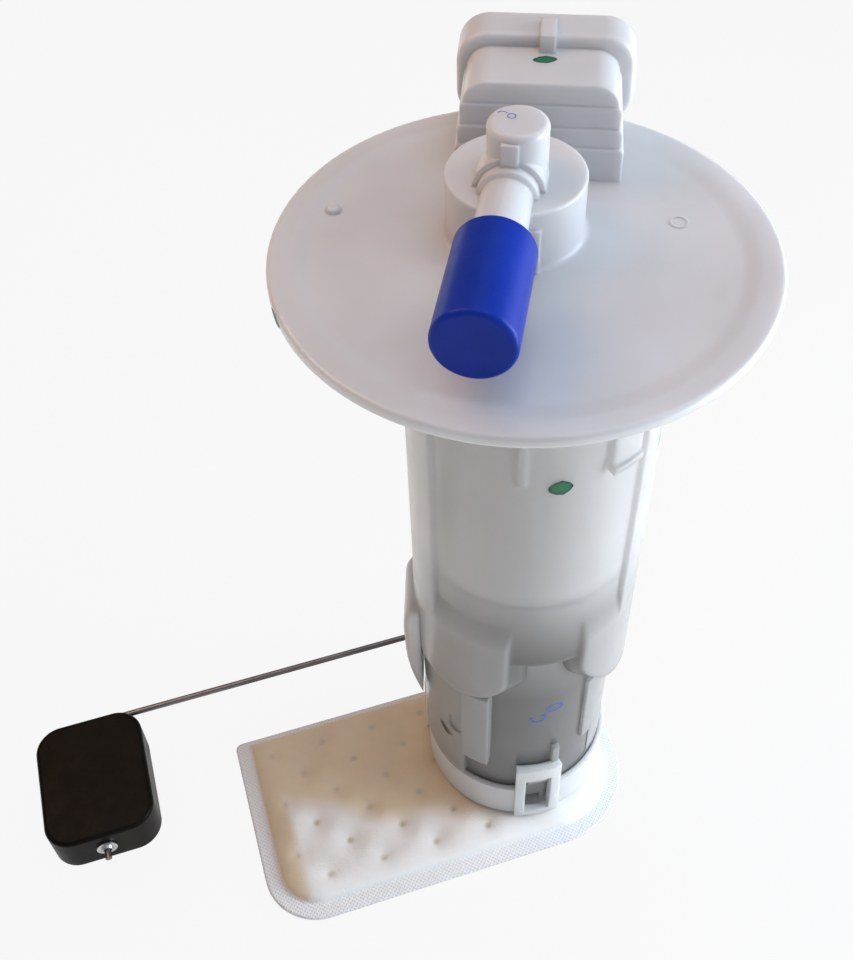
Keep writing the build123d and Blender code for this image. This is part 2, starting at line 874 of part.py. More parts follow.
with BuildPart() as regulator_valve:
    add(tube(regulator_seat_radius + 1.2, 0, cover_top + 3.45, cover_top + 4.4, regulator_x, regulator_y))
    add(tube(1.2, 0, cover_top + 4.4, regulator_mid + 1.6, regulator_x, regulator_y))
    add(tube(4.4, 0, regulator_mid + 0.6, regulator_mid + 1.6, regulator_x, regulator_y))
write(regulator_valve, "regulator_valve")

with BuildPart() as regulator_diaphragm:
    add(
        tube(regulator_radius, 1.2 + end_play, regulator_mid, regulator_mid + 0.5, regulator_x, regulator_y)
    )
write(regulator_diaphragm, "regulator_diaphragm")

with BuildPart() as regulator_cap:
    add(tube(regulator_radius, 0, regulator_mid + 0.5, regulator_high, regulator_x, regulator_y))
    fillet(regulator_cap.faces().sort_by(Axis.Z)[-1].edges(), 1.4)
    add(
        tube(
            regulator_radius - regulator_wall,
            0,
            regulator_mid + 0.4,
            regulator_high - regulator_wall,
            regulator_x,
            regulator_y,
        ),
        mode=Mode.SUBTRACT,
    )
    add(tube(1.2, 0, regulator_mid, regulator_high + 1, regulator_x, regulator_y), mode=Mode.SUBTRACT)
write(regulator_cap, "regulator_cap")

with BuildPart() as regulator_spring:
    add(
        coil(
            3.2,
            0.45,
            regulator_mid + 1.65,
            regulator_high - regulator_wall - 0.05,
            3,
            regulator_x,
            regulator_y,
        )
    )
write(regulator_spring, "regulator_spring")

with BuildPart() as regulator_o_ring:
    with BuildSketch(Plane.XZ.offset(-regulator_y)):
        with Locations((regulator_x + regulator_stem_radius + 0.75, cover_bottom + cover_height / 2)):
            Circle(0.72)
    revolve(axis=Axis((regulator_x, regulator_y, 0), (0, 0, 1)))
write(regulator_o_ring, "regulator_o_ring")

# ---------------------------------------------------------------- pump: case and end covers
can_inner = pump_radius - pump_wall
plate_top = pump_bottom + impeller_thickness + 2 * end_play + chamber_plate_height
plate_bottom = plate_top - chamber_plate_height
nipple_base = pump_top + outlet_cover_height
valve_seat_top = nipple_base - 3.0



def flow_channel(low, high):
    """Side channel of the turbine, open over most of the round."""
    return sector(
        impeller_radius - channel_rim,
        impeller_radius - channel_rim - channel_width,
        channel_start,
        channel_end,
        low,
        high,
    )


with BuildPart() as pump_can:
    add(tube(pump_radius, can_inner, can_low + 1.0, pump_top, housing_x))
    add(tube(pump_radius, outlet_cover_radius + 0.1, pump_top - pump_wall, pump_top, housing_x))
    add(
        tube(
            pump_radius,
            can_inner - 1.6,
            can_low,
            can_low + 1.0,
            housing_x,
        )
    )
    fillet(pump_can.faces().sort_by(Axis.Z)[-1].edges().sort_by(SortBy.RADIUS)[-1], 0.9)
    fillet(pump_can.faces().sort_by(Axis.Z)[0].edges().sort_by(SortBy.RADIUS)[-1], 0.9)
write(pump_can, "pump_can")

with BuildPart() as pump_outlet_cover:
    add(tube(can_inner - 0.05, 0, pump_top - pump_wall - 5.0, pump_top - pump_wall, housing_x))
    add(tube(outlet_cover_radius, 0, pump_top - pump_wall, nipple_base, housing_x))
    fillet(pump_outlet_cover.faces().sort_by(Axis.Z)[-1].edges(), 1.5)
    add(tube(nipple_radius, 0, nipple_base, nipple_top, housing_x, nipple_y))
    chamfer(pump_outlet_cover.faces().sort_by(Axis.Z)[-1].edges(), 0.6)
    for angle in (0, 180):
        with Locations(Location((housing_x, 0, nipple_base), (0, 0, angle))):
            with Locations((10.5, 0, 0)):
                Box(7.0, 6.0, 4.0, align=(Align.CENTER, Align.CENTER, Align.MIN))
    # chamber over the commutator, brush wells, fuel passage and the valve's bore
    add(
        tube(commutator_radius + 1.2, 0, pump_top - pump_wall - 6, pump_top + 2.5, housing_x),
        mode=Mode.SUBTRACT,
    )
    add(
        tube(valve_seat_bore, 0, pump_top - pump_wall - 6, nipple_top + 1, housing_x, nipple_y),
        mode=Mode.SUBTRACT,
    )
    add(tube(nipple_bore, 0, valve_seat_top, nipple_top + 1, housing_x, nipple_y), mode=Mode.SUBTRACT)
    with BuildSketch(Plane.XY.offset(pump_top - pump_wall - 5.1)):
        with Locations((housing_x, 0)):
            Rectangle(2 * (commutator_radius + 8.0), 5.0)
    extrude(amount=6.0, mode=Mode.SUBTRACT)
    add(
        tube(bush_radius, 0, pump_top + 2.4, pump_top + 2.5 + bush_height, housing_x),
        mode=Mode.SUBTRACT,
    )
write(pump_outlet_cover, "pump_outlet_cover")

with BuildPart() as pump_outlet_seal:
    seal_low = socket_low + 0.8
    add(
        tube(
            nipple_radius + slip + 0.65,
            nipple_radius + 0.05,
            seal_low,
            seal_low + 3.6,
            housing_x,
            nipple_y,
        )
    )
    fillet(pump_outlet_seal.edges().filter_by(GeomType.CIRCLE), 0.2)
write(pump_outlet_seal, "pump_outlet_seal")

with BuildPart() as pump_chamber_plate:
    add(tube(can_inner - 0.05, 0, plate_bottom, plate_top, housing_x))
    add(tube(plate_hub_radius, 0, plate_top, plate_top + plate_hub_height, housing_x))
    add(tube(bush_radius, 0, plate_bottom + 1.0, plate_top + 3.0, housing_x), mode=Mode.SUBTRACT)
    add(tube(shaft_radius + 0.4, 0, plate_bottom - 1, plate_top, housing_x), mode=Mode.SUBTRACT)
    add(flow_channel(plate_bottom - 1, plate_bottom + channel_depth), mode=Mode.SUBTRACT)
    add(tube(1.7, 0, plate_bottom - 1, plate_top + 1, housing_x - 11.0, 6.4), mode=Mode.SUBTRACT)
write(pump_chamber_plate, "pump_chamber_plate")

with BuildPart() as pump_inlet_cover:
    inlet_low = can_low + 1.0
    add(tube(can_inner - 0.05, 0, inlet_low, pump_bottom, housing_x))
    add(tube(can_inner - 1.7, 0, inlet_low - 1.6, inlet_low, housing_x))
    add(tube(inlet_radius, 0, inlet_low - 1.6 - inlet_length, inlet_low, inlet_x))
    chamfer(pump_inlet_cover.faces().sort_by(Axis.Z)[0].edges(), 0.5)
    add(tube(inlet_bore, 0, inlet_low - inlet_length - 3, pump_bottom + 1, inlet_x), mode=Mode.SUBTRACT)
    add(flow_channel(pump_bottom - channel_depth, pump_bottom + 1), mode=Mode.SUBTRACT)
    add(tube(shaft_radius + 0.5, 0, pump_bottom - 1.6, pump_bottom + 1, housing_x), mode=Mode.SUBTRACT)
write(pump_inlet_cover, "pump_inlet_cover")

# ---------------------------------------------------------------- pump: check valve
poppet_low = valve_seat_top + 0.05
retainer_top = nipple_top - 1.0

with BuildPart() as check_valve_poppet:
    with BuildSketch(Plane.XZ.offset(-nipple_y)):
        with BuildLine():
            Polyline(
                (housing_x, poppet_low - 1.2),
                (housing_x + valve_seat_bore - 0.9, poppet_low - 1.2),
                (housing_x + valve_seat_bore - 0.1, poppet_low),
                (housing_x + valve_head_radius, poppet_low),
                (housing_x + valve_head_radius, poppet_low + 1.2),
                (housing_x + 0.8, poppet_low + 1.8),
                (housing_x + 0.8, retainer_top + 0.2),
                (housing_x, retainer_top + 0.2),
                close=True,
            )
        make_face()
    revolve(axis=Axis((housing_x, nipple_y, 0), (0, 0, 1)))
write(check_valve_poppet, "check_valve_poppet")

with BuildPart() as check_valve_retainer:
    add(tube(nipple_bore, 0.8 + end_play, retainer_top - 1.4, retainer_top, housing_x, nipple_y))
    for angle in (0, 120, 240):
        with BuildSketch(Plane.XY.offset(retainer_top - 1.5)):
            with Locations(
                (housing_x + 2.05 * cos(radians(angle)), nipple_y + 2.05 * sin(radians(angle)))
            ):
                Circle(0.6)
        extrude(amount=1.6, mode=Mode.SUBTRACT)
write(check_valve_retainer, "check_valve_retainer")

with BuildPart() as check_valve_spring:
    add(coil(1.7, 0.25, poppet_low + 1.85, retainer_top - 1.45, 4, housing_x, nipple_y))
write(check_valve_spring, "check_valve_spring")

# ---------------------------------------------------------------- pump: motor
shaft_top = pump_top + 2.5 + bush_height - 0.5
shaft_bottom = pump_bottom - 1.0
core_stack_bottom = plate_top + plate_hub_height + motor_gap + winding_height
core_stack_top = core_stack_bottom + core_stack_length
commutator_top = pump_top - pump_wall + 0.5
commutator_bottom = commutator_top - commutator_height

with BuildPart() as pump_shaft:
    add(tube(shaft_radius, 0, shaft_bottom, shaft_top, housing_x))
    chamfer(pump_shaft.faces().sort_by(Axis.Z)[0].edges(), 0.3)
    chamfer(pump_shaft.faces().sort_by(Axis.Z)[-1].edges(), 0.3)
write(pump_shaft, "pump_shaft")

with BuildPart() as armature_core:
    add(tube(core_stack_radius, shaft_radius, core_stack_bottom, core_stack_top, housing_x))
    with BuildSketch(Plane.XY.offset(core_stack_bottom - 1)):
        with Locations(Location((housing_x, 0))):
            with PolarLocations(core_stack_radius - 4.0, core_slots):
                SlotOverall(6.0, 3.6)
            with PolarLocations(core_stack_radius, core_slots):
                Rectangle(3.0, 0.9)
    extrude(amount=core_stack_top - core_stack_bottom + 2, mode=Mode.SUBTRACT)
write(armature_core, "armature_core")



def winding_bundle(low):
    """Rounded bundle of wire at one end of the armature."""
    with BuildPart() as piece:
        add(tube(winding_radius, shaft_radius, low, low + winding_height, housing_x))
        fillet(piece.edges().filter_by(GeomType.CIRCLE).group_by(SortBy.RADIUS)[-1], winding_height * 0.35)
    return piece.part


with BuildPart() as armature_windings:
    add(winding_bundle(core_stack_top))
    add(winding_bundle(core_stack_bottom - winding_height))
write(armature_windings, "armature_windings")

with BuildPart() as commutator:
    add(tube(commutator_radius, shaft_radius, commutator_bottom, commutator_top, housing_x))
    with BuildSketch(Plane.XY.offset(commutator_bottom - 1)):
        with Locations(Location((housing_x, 0))):
            with PolarLocations(commutator_radius - 0.4, core_slots):
                Rectangle(1.6, 0.4)
    extrude(amount=commutator_height + 2, mode=Mode.SUBTRACT)
write(commutator, "commutator")

with BuildPart() as carbon_brushes:
    for side in (-1, 1):
        with Locations((housing_x + side * (commutator_radius + end_play + 2.6), 0, pump_top - pump_wall - 5)):
            Box(5.2, 4.6, 4.8, align=(Align.CENTER, Align.CENTER, Align.MIN))
write(carbon_brushes, "carbon_brushes")

with BuildPart() as magnets:
    magnet_outer = can_inner - 0.1
    for middle in (0, 180):
        add(
            sector(
                magnet_outer,
                magnet_outer - magnet_thickness,
                middle - magnet_span / 2,
                middle + magnet_span / 2,
                core_stack_bottom - 3,
                core_stack_top + 3,
            )
        )
write(magnets, "magnets")

for bush_name, low in (("top_bush", pump_top + 2.5), ("bottom_bush", plate_bottom + 1.0)):
    with BuildPart() as bush:
        add(tube(bush_radius, shaft_radius + running, low, low + bush_height, housing_x))
    write(bush, bush_name)

with BuildPart() as impeller:
    impeller_low = pump_bottom + end_play
    add(tube(impeller_radius, shaft_radius, impeller_low, impeller_low + impeller_thickness, housing_x))
    blade_gap = 2 * pi * impeller_radius / impeller_blades * 0.6
    for low in (impeller_low - 1, impeller_low + impeller_thickness / 2 + 0.3):
        with BuildSketch(Plane.XY.offset(low)):
            with Locations(Location((housing_x, 0))):
                with PolarLocations(impeller_radius - 1.4, impeller_blades):
                    Rectangle(3.4, blade_gap)
        extrude(amount=impeller_thickness / 2 + 0.7, mode=Mode.SUBTRACT)
write(impeller, "impeller")

# ---------------------------------------------------------------- rubber mounts of the pump
cushion_top = can_low + cushion_grip
collar_top = pump_top - collar_setback

with BuildPart() as pump_cushion:
    add(tube(shell_inner - 0.2, 0, shell_floor_top, cushion_top, housing_x))
    add(tube(pump_radius + 0.1, 0, can_low, cushion_top + 1, housing_x), mode=Mode.SUBTRACT)
    add(tube(can_inner - 1.5, 0, can_low - 2.0, cushion_top + 1, housing_x), mode=Mode.SUBTRACT)
    add(tube(port_radius + 0.6, 0, shell_floor_top - 1, can_low, inlet_x), mode=Mode.SUBTRACT)
    with BuildSketch(Plane.XY.offset(shell_floor_top - 1)):
        with Locations(Location((housing_x, 0))):
            with PolarLocations(shell_inner, cushion_grooves, start_angle=15):
                Circle(0.4 * mount_room)
    extrude(amount=cushion_top - shell_floor_top + 2, mode=Mode.SUBTRACT)
write(pump_cushion, "pump_cushion")

with BuildPart() as pump_collar:
    add(tube(shell_inner - 0.2, pump_radius + 0.1, collar_top - collar_height, collar_top, housing_x))
    with BuildSketch(Plane.XY.offset(collar_top - collar_height - 1)):
        with Locations(Location((housing_x, 0))):
            with PolarLocations(shell_inner, collar_grooves, start_angle=22.5):
                Circle(0.58 * mount_room)
    extrude(amount=collar_height + 2, mode=Mode.SUBTRACT)
write(pump_collar, "pump_collar")

# ---------------------------------------------------------------- lower shell
pad_top = pod_bottom - pad_gap


def snap_wedge(angle):
    """Wedge of the shell wall, thick at its top, that a loop of the cup snaps over."""
    turn = (loop_window_span - 3.0) / 2
    top = loop_top - loop_bar - 0.2
    with BuildPart() as piece:
        add(sector(cup_radius, shell_inner + 0.5, angle - turn, angle + turn, top - wedge_height, top))
        with BuildSketch(radial_plane(angle)):
            with BuildLine():
                Polyline(
                    (cup_radius + 1, top - 0.8),
                    (shell_radius + 0.05, top - wedge_height),
                    (cup_radius + 1, top - wedge_height),
                    close=True,
                )
            make_face()
        extrude(amount=12, both=True, mode=Mode.SUBTRACT)
    return piece.part


def level_slab(width, near, far, low, high, middle):
    """Block square to the hinge axis, between two distances across and two heights."""
    with BuildPart() as piece:
        with BuildSketch(across_plane(near)):
            with Locations((middle, (low + high) / 2)):
                Rectangle(width, high - low)
        extrude(amount=far - near)
    return piece.part


with BuildPart() as lower_shell:
    add(tube(shell_radius, shell_inner, shell_bottom, shell_top, housing_x))
    add(tube(shell_radius, 0, shell_bottom, shell_floor_top, housing_x))
    port_hole = port_radius + port_hole_clearance
    add(tube(port_hole, 0, shell_bottom - 1, shell_floor_top + 1, inlet_x), mode=Mode.SUBTRACT)
    # raised pads and bars of the wall, and a small fin
    inside = shell_inner + 0.5
    add(sector(left_pad_radius, inside, *left_pad_span, pad_bottom, pad_top))
    add(sector(shell_radius + left_bar_relief, inside, *left_bar_span, left_bar_bottom, pad_top))
    add(sector(shell_radius + right_pad_relief, inside, *right_pad_span, pad_bottom, pad_top))
    add(sector(shell_radius + right_bar_relief, inside, *right_bar_span, right_bar_bottom, right_bar_top))
    turn = degrees(shell_fin_width / 2 / shell_radius)
    add(
        sector(
            shell_radius + shell_fin_relief,
            inside,
            shell_fin_angle - turn,
            shell_fin_angle + turn,
            shell_fin_low,
            shell_fin_high,
        )
    )
    # guide rail for the sender
    add(
        level_slab(
            sender_width - 8,
            axis_across + shell_inner - 2,
            sender_back - slip,
            cup_top + 3.0,
            sender_top - 8.0,
            hinge_along,
        )
    )
    add(tube(shell_inner, 0, shell_floor_top, shell_top + 1, housing_x), mode=Mode.SUBTRACT)
    # wedges that the bottom cup's loops snap over
    for angle in loop_angles:
        add(snap_wedge(angle))
    # slanted slot and dimple in the left pad, and feed openings near the top
    with BuildSketch(wall_plane(vent_slot_angle, shell_inner - 2, vent_slot_height)):
        SlotOverall(vent_slot_length, vent_slot_width, rotation=-33)
    extrude(amount=8, mode=Mode.SUBTRACT)
    with BuildSketch(wall_plane(dimple_angle, left_pad_radius - dimple_depth, dimple_height)):
        SlotOverall(dimple_length, dimple_width, rotation=90)
    extrude(amount=4, mode=Mode.SUBTRACT)
    for angle in feed_angles:
        with BuildSketch(wall_plane(angle, shell_inner - 2, feed_height)):
            SlotOverall(feed_length, feed_width, rotation=90)
        extrude(amount=6, mode=Mode.SUBTRACT)
write(lower_shell, "lower_shell")

# ---------------------------------------------------------------- bottom cup
with BuildPart() as bottom_cup:
    add(tube(cup_radius, 0, cup_bottom, cup_top, housing_x))
    fillet(bottom_cup.faces().sort_by(Axis.Z)[0].edges(), 1.2)
    add(tube(cup_inner, 0, cup_floor_top, cup_top + 1, housing_x), mode=Mode.SUBTRACT)
    for angle in loop_angles:
        turn = loop_span / 2
        foot = cup_bottom + 0.4
        add(sector(loop_radius, cup_inner + 0.15, angle - turn, angle + turn, foot, loop_top))
    for angle in loop_angles:
        add(
            sector(
                loop_radius + 1,
                cup_inner - 1,
                angle - loop_window_span / 2,
                angle + loop_window_span / 2,
                cup_floor_top + loop_sill,
                loop_top - loop_bar,
            ),
            mode=Mode.SUBTRACT,
        )
    # ribs that hold the shell off the floor, and the strainer's port
    for turn in range(cup_rib_count):
        angle = 360 / cup_rib_count * (turn + 0.5)
        with Locations(Location((housing_x, 0, cup_floor_top - 0.2), (0, 0, angle))):
            with Locations((cup_inner * 0.7, 0, 0)):
                Box(
                    cup_inner * 0.47,
                    cup_rib_width,
                    cup_space,
                    align=(Align.CENTER, Align.CENTER, Align.MIN),
                )
    add(tube(port_radius + slip, 0, cup_bottom - 1, shell_bottom, inlet_x), mode=Mode.SUBTRACT)
write(bottom_cup, "bottom_cup")

# ---------------------------------------------------------------- strainer
sock_length = sock_right - sock_left
sock_width = sock_far - sock_near
sock_middle = ((sock_left + sock_right) / 2, (sock_near + sock_far) / 2)


def sock_slab(inset, low, high, round_top=0.0):
    """Slab of the strainer's plan, drawn in by an inset, with its own corner radii."""
    with BuildPart() as piece:
        with BuildSketch(sock_plane(low)):
            with Locations(sock_middle):
                Rectangle(sock_length - 2 * inset, sock_width - 2 * inset)
        extrude(amount=high - low)
        for edge in piece.edges().filter_by(Axis.Z):
            offset = edge.center() - (along * sock_middle[0] + across * sock_middle[1])
            if offset.dot(along) > 0:
                radius = sock_corner_right
            elif offset.dot(across) < 0:
                radius = sock_corner_near_left
            else:
                radius = sock_corner_far_left + inset
            fillet(edge, radius - inset)
        if round_top > 0:
            fillet(piece.faces().sort_by(Axis.Z)[-1].edges(), round_top)
    return piece.part


band_low = floor_height + sock_band_lift
band_high = band_low + sock_band_thickness

with BuildPart() as suction_sock:
    add(sock_slab(0, band_low, band_high))
    add(sock_slab(sock_band, band_high, sock_top, 3.4))
    add(sock_slab(sock_band + 2.0, floor_height, band_low))
    add(
        sock_slab(sock_band + 3.0, floor_height + sock_skin, sock_top - sock_skin, 2.0),
        mode=Mode.SUBTRACT,
    )
    add(tube(port_radius + slip, 0, sock_top - 2, sock_top + 1, inlet_x), mode=Mode.SUBTRACT)
write(suction_sock, "suction_sock")

frame_low = floor_height + sock_skin + 0.2
port_bottom = frame_low + frame_thickness
port_top = inlet_low - 1.6 - inlet_length + port_overlap

with BuildPart() as strainer_frame:
    inset = sock_band + 4.5
    add(sock_slab(inset, frame_low, port_bottom))
    add(sock_slab(inset + frame_rib + 0.4, frame_low - 1, port_bottom + 1), mode=Mode.SUBTRACT)
    with BuildSketch(sock_plane(frame_low)):
        with Locations(sock_middle):
            Rectangle(sock_length - 2 * inset - 1, frame_rib)
            with GridLocations((sock_length - 2 * inset) / 6, 0, 5, 1):
                Rectangle(frame_rib, sock_width - 2 * inset - 1)
    extrude(amount=frame_thickness)
    with BuildSketch(sock_plane(port_bottom)):
        with Locations(sock_middle):
            with GridLocations((sock_length - 2 * inset) / 6, (sock_width - 2 * inset) / 3, 4, 2):
                Rectangle(10.0, frame_rib)
    extrude(amount=sock_top - sock_skin - 1.2 - port_bottom)
    with BuildSketch(sock_plane(frame_low)):
        with Locations(sock_middle):
            with GridLocations(0, (sock_width - 2 * inset) / 3, 1, 2):
                Rectangle(sock_length - 2 * inset - 1, frame_rib)
    extrude(amount=frame_thickness)
    add(tube(port_radius + 3.0, 0, frame_low, port_bottom, inlet_x))
    add(tube(port_radius, 0, frame_low, port_top, inlet_x))
    add(tube(port_radius - port_wall, 0, port_bottom, port_top + 1, inlet_x), mode=Mode.SUBTRACT)
    for angle in range(0, 360, 90):
        with Locations(Location((inlet_x, 0, port_bottom + 0.01), (0, 0, angle + 45))):
            with Locations((port_radius - 1, 0, 0)):
                Box(6, 3.2, 3.4, align=(Align.CENTER, Align.CENTER, Align.MIN), mode=Mode.SUBTRACT)
    add(tube(port_radius, port_radius - port_wall, port_top - 0.01, port_top, inlet_x))
write(strainer_frame, "strainer_frame")

# ---------------------------------------------------------------- level sender
with BuildPart() as sender_body:
    with BuildSketch(across_plane(sender_back)):
        with Locations((hinge_along, (sender_top + sender_bottom) / 2)):
            RectangleRounded(sender_width, sender_top - sender_bottom, 3.0)
    extrude(amount=sender_thickness)
    # clips that hook behind the shell's guide rail
    with BuildSketch(across_plane(sender_back)):
        with Locations((hinge_along, sender_top - 2.0)):
            Rectangle(sender_width, 3.0)
    extrude(amount=sender_thickness + 2.0)
    for side in (-1, 1):
        with BuildSketch(across_plane(sender_back)):
            with Locations((hinge_along + side * (sender_width / 2 - 1.0), hinge_height + 12.0)):
                Rectangle(2.0, 18.0)
        extrude(amount=sender_thickness + 0.6)
    # lower stop of the arm
    with BuildSketch(across_plane(card_face)):
        with Locations((hinge_along + 14.0, (hinge_height + wire_height - lever_height) / 2 - 1.7)):
            Rectangle(4.0, 3.0)
    extrude(amount=wire_plane + wire_radius - card_face)
    # hinge pin with a snap head
    with BuildSketch(across_plane(card_face - 1)):
        with Locations((hinge_along, hinge_height)):
            Circle(hinge_pin_radius)
    extrude(amount=hub_far + 1.6 - card_face + 1)
    with BuildSketch(across_plane(hub_far + 0.2)):
        with Locations((hinge_along, hinge_height)):
            Circle(hinge_pin_radius + 0.9)
    extrude(amount=1.4, taper=20)
    # recess for the resistor card
    with BuildSketch(across_plane(card_face - card_thickness)):
        with Locations((hinge_along, hinge_height + card_lift)):
            Rectangle(card_width, card_height)
    extrude(amount=card_thickness + 0.1, mode=Mode.SUBTRACT)
write(sender_body, "sender_body")

with BuildPart() as resistor_card:
    with BuildSketch(across_plane(card_face - card_thickness)):
        with Locations((hinge_along, hinge_height + card_lift)):
            Rectangle(card_width, card_height)
    extrude(amount=card_thickness)
write(resistor_card, "resistor_card")

with BuildPart() as wiper_hub:
    with BuildSketch(across_plane(hub_near)):
        with Locations((hinge_along, hinge_height)):
            Circle(hub_radius)
        with Locations((hinge_along + 10.0, (hinge_height + wire_height) / 2)):
            RectangleRounded(22.0, lever_height, 2.0)
        with Locations((hinge_along, hinge_height + 9.0)):
            RectangleRounded(9.0, 16.0, 2.0)
    extrude(amount=hub_depth)
    with BuildSketch(across_plane(hub_near - 1)):
        with Locations((hinge_along, hinge_height)):
            Circle(hinge_bore)
    extrude(amount=hub_depth + 2, mode=Mode.SUBTRACT)
    # groove for the wire, open outwards
    with BuildSketch(across_plane(wire_plane - wire_radius - 0.02)):
        with Locations((hinge_along + 8.0, wire_height)):
            Rectangle(60.0, 2 * wire_radius + 0.04)
    extrude(amount=hub_depth, mode=Mode.SUBTRACT)
write(wiper_hub, "wiper_hub")

with BuildPart() as wiper_contact:
    with BuildSketch(across_plane(hub_near - 0.25)):
        with Locations((hinge_along, hinge_height + 12.0)):
            Rectangle(7.0, 9.0)
    extrude(amount=0.25)
    for side in (-1, 1):
        with BuildSketch(across_plane(card_face + 0.1)):
            with Locations((hinge_along + side * 2.2, hinge_height + 13.5)):
                Rectangle(1.4, 1.6)
        extrude(amount=hub_near - card_face - 0.1)
write(wiper_contact, "wiper_contact")


def arm_point(out, distance, height):
    """Point given by its reach along the arm, its distance across and its height."""
    return along * -out + across * distance + Vector(0, 0, height)


wire_start = hinge_along - 8.5
with BuildPart() as float_arm:
    with BuildLine():
        route = FilletPolyline(
            arm_point(wire_start, wire_plane, wire_height),
            arm_point(float_along, wire_plane, wire_height),
            arm_point(float_along, float_front - wire_stub, wire_height),
            radius=wire_bend,
        )
    with BuildSketch(Plane(origin=route @ 0, z_dir=route % 0)):
        Circle(wire_radius)
    sweep(path=route)
write(float_arm, "float_arm")


def float_block(near, far):
    """Slice of the float between two distances across, with its plan corners rounded."""
    with BuildPart() as piece:
        low = wire_height - float_thickness / 2 - float_hole_lift
        with BuildSketch(sock_plane(low)):
            with Locations((-float_along, float_centre)):
                RectangleRounded(float_width, float_back - float_front, float_corner)
        extrude(amount=float_thickness)
        fillet(piece.faces().sort_by(Axis.Z)[-1].edges(), float_edge)
        fillet(piece.faces().sort_by(Axis.Z)[0].edges(), float_edge)
        with BuildSketch(across_plane(near)):
            with Locations((float_along, wire_height)):
                Rectangle(2 * float_width, 2 * float_thickness)
        extrude(amount=far - near, mode=Mode.INTERSECT)
        with BuildSketch(across_plane(near - 1)):
            with Locations((float_along, wire_height)):
                Circle(wire_radius + running)
        extrude(amount=far - near + 2, mode=Mode.SUBTRACT)
    return piece.part


with BuildPart() as float_body:
    add(float_block(float_seam, float_back + 1))
write(float_body, "float_body")

with BuildPart() as float_end_cap:
    add(float_block(float_front - 1, float_seam))
write(float_end_cap, "float_end_cap")

with BuildPart() as push_nut:
    with BuildSketch(across_plane(float_front - 0.2 - nut_thickness)):
        with Locations((float_along, wire_height)):
            Circle(nut_radius)
            Circle(wire_radius, mode=Mode.SUBTRACT)
    extrude(amount=nut_thickness)
    with BuildSketch(across_plane(float_front - 0.2 - nut_thickness)):
        with Locations((float_along, wire_height)):
            Circle(wire_radius + 1.1)
            Circle(wire_radius, mode=Mode.SUBTRACT)
    extrude(amount=-0.9, taper=25)
write(push_nut, "push_nut")
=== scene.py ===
import math

import bpy
import numpy as np
from mathutils import Matrix, Vector


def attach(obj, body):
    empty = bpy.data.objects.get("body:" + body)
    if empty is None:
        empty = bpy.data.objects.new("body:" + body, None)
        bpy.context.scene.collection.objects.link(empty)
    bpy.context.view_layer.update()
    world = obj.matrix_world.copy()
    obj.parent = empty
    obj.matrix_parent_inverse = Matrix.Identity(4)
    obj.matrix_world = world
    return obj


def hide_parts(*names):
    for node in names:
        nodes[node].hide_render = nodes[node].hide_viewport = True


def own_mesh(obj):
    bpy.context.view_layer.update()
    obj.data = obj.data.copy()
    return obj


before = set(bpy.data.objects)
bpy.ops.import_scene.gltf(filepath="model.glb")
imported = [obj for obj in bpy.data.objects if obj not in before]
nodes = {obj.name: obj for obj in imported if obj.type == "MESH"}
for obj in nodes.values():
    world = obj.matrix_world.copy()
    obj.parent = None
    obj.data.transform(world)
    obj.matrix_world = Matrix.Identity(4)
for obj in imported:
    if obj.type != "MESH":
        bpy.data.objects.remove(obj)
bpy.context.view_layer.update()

MM = 0.001
HOUSING_X = 4.0
LEAN_DEGREES = 22.5
LEAN = math.radians(LEAN_DEGREES)
ALONG = np.array([math.cos(LEAN), math.sin(LEAN)])
ACROSS = np.array([-math.sin(LEAN), math.cos(LEAN)])
FLOOR_Z = -231.0

scene = bpy.context.scene


# ---------------------------------------------------------------- camera
VIEW_SIZE = (853, 960)
VIEW_CENTRE = (456.8, 470.9)
FOCAL_LENGTH = 1206.9
SENSOR_WIDTH = 36
EYE = (0.0030, -0.2230, 0.1817)
EYE_ANGLES = (5.0, 49.02, -0.71)


def place_camera():
    """Camera above the near side of the flange, turned 5 degrees, looking down at 49 degrees.

    View size, view centre and focal length are in pixels, the sensor's width in millimetres.
    """
    turn, dip, roll = (math.radians(angle) for angle in EYE_ANGLES)
    right = Vector((math.cos(turn), math.sin(turn), 0))
    forward = Vector((-math.sin(turn) * math.cos(dip), math.cos(turn) * math.cos(dip), -math.sin(dip)))
    down = forward.cross(right)
    across = right * math.cos(roll) - down * math.sin(roll)
    lower = right * math.sin(roll) + down * math.cos(roll)
    lens = bpy.data.cameras.new("camera")
    camera = bpy.data.objects.new("camera", lens)
    scene.collection.objects.link(camera)
    axes = Matrix((across, -lower, -forward)).transposed()
    camera.matrix_world = Matrix.Translation(EYE) @ axes.to_4x4()
    lens.sensor_width = SENSOR_WIDTH
    lens.lens = FOCAL_LENGTH * SENSOR_WIDTH / VIEW_SIZE[1]
    lens.shift_x = (VIEW_SIZE[0] / 2 - VIEW_CENTRE[0]) / VIEW_SIZE[1]
    lens.shift_y = (VIEW_CENTRE[1] - VIEW_SIZE[1] / 2) / VIEW_SIZE[1]
    lens.clip_start, lens.clip_end = 0.01, 20
    scene.camera = camera


place_camera()


# ---------------------------------------------------------------- node trees
RANGE_KEYS = ("From Min", "From Max", "To Min", "To Max")


def map_range(tree, value, *numbers):
    """Value between the first two numbers, carried to between the last two."""
    node = tree.nodes.new("ShaderNodeMapRange")
    for key, number in zip(RANGE_KEYS, numbers):
        node.inputs[key].default_value = number
    tree.links.new(value, node.inputs["Value"])
    return node.outputs["Result"]


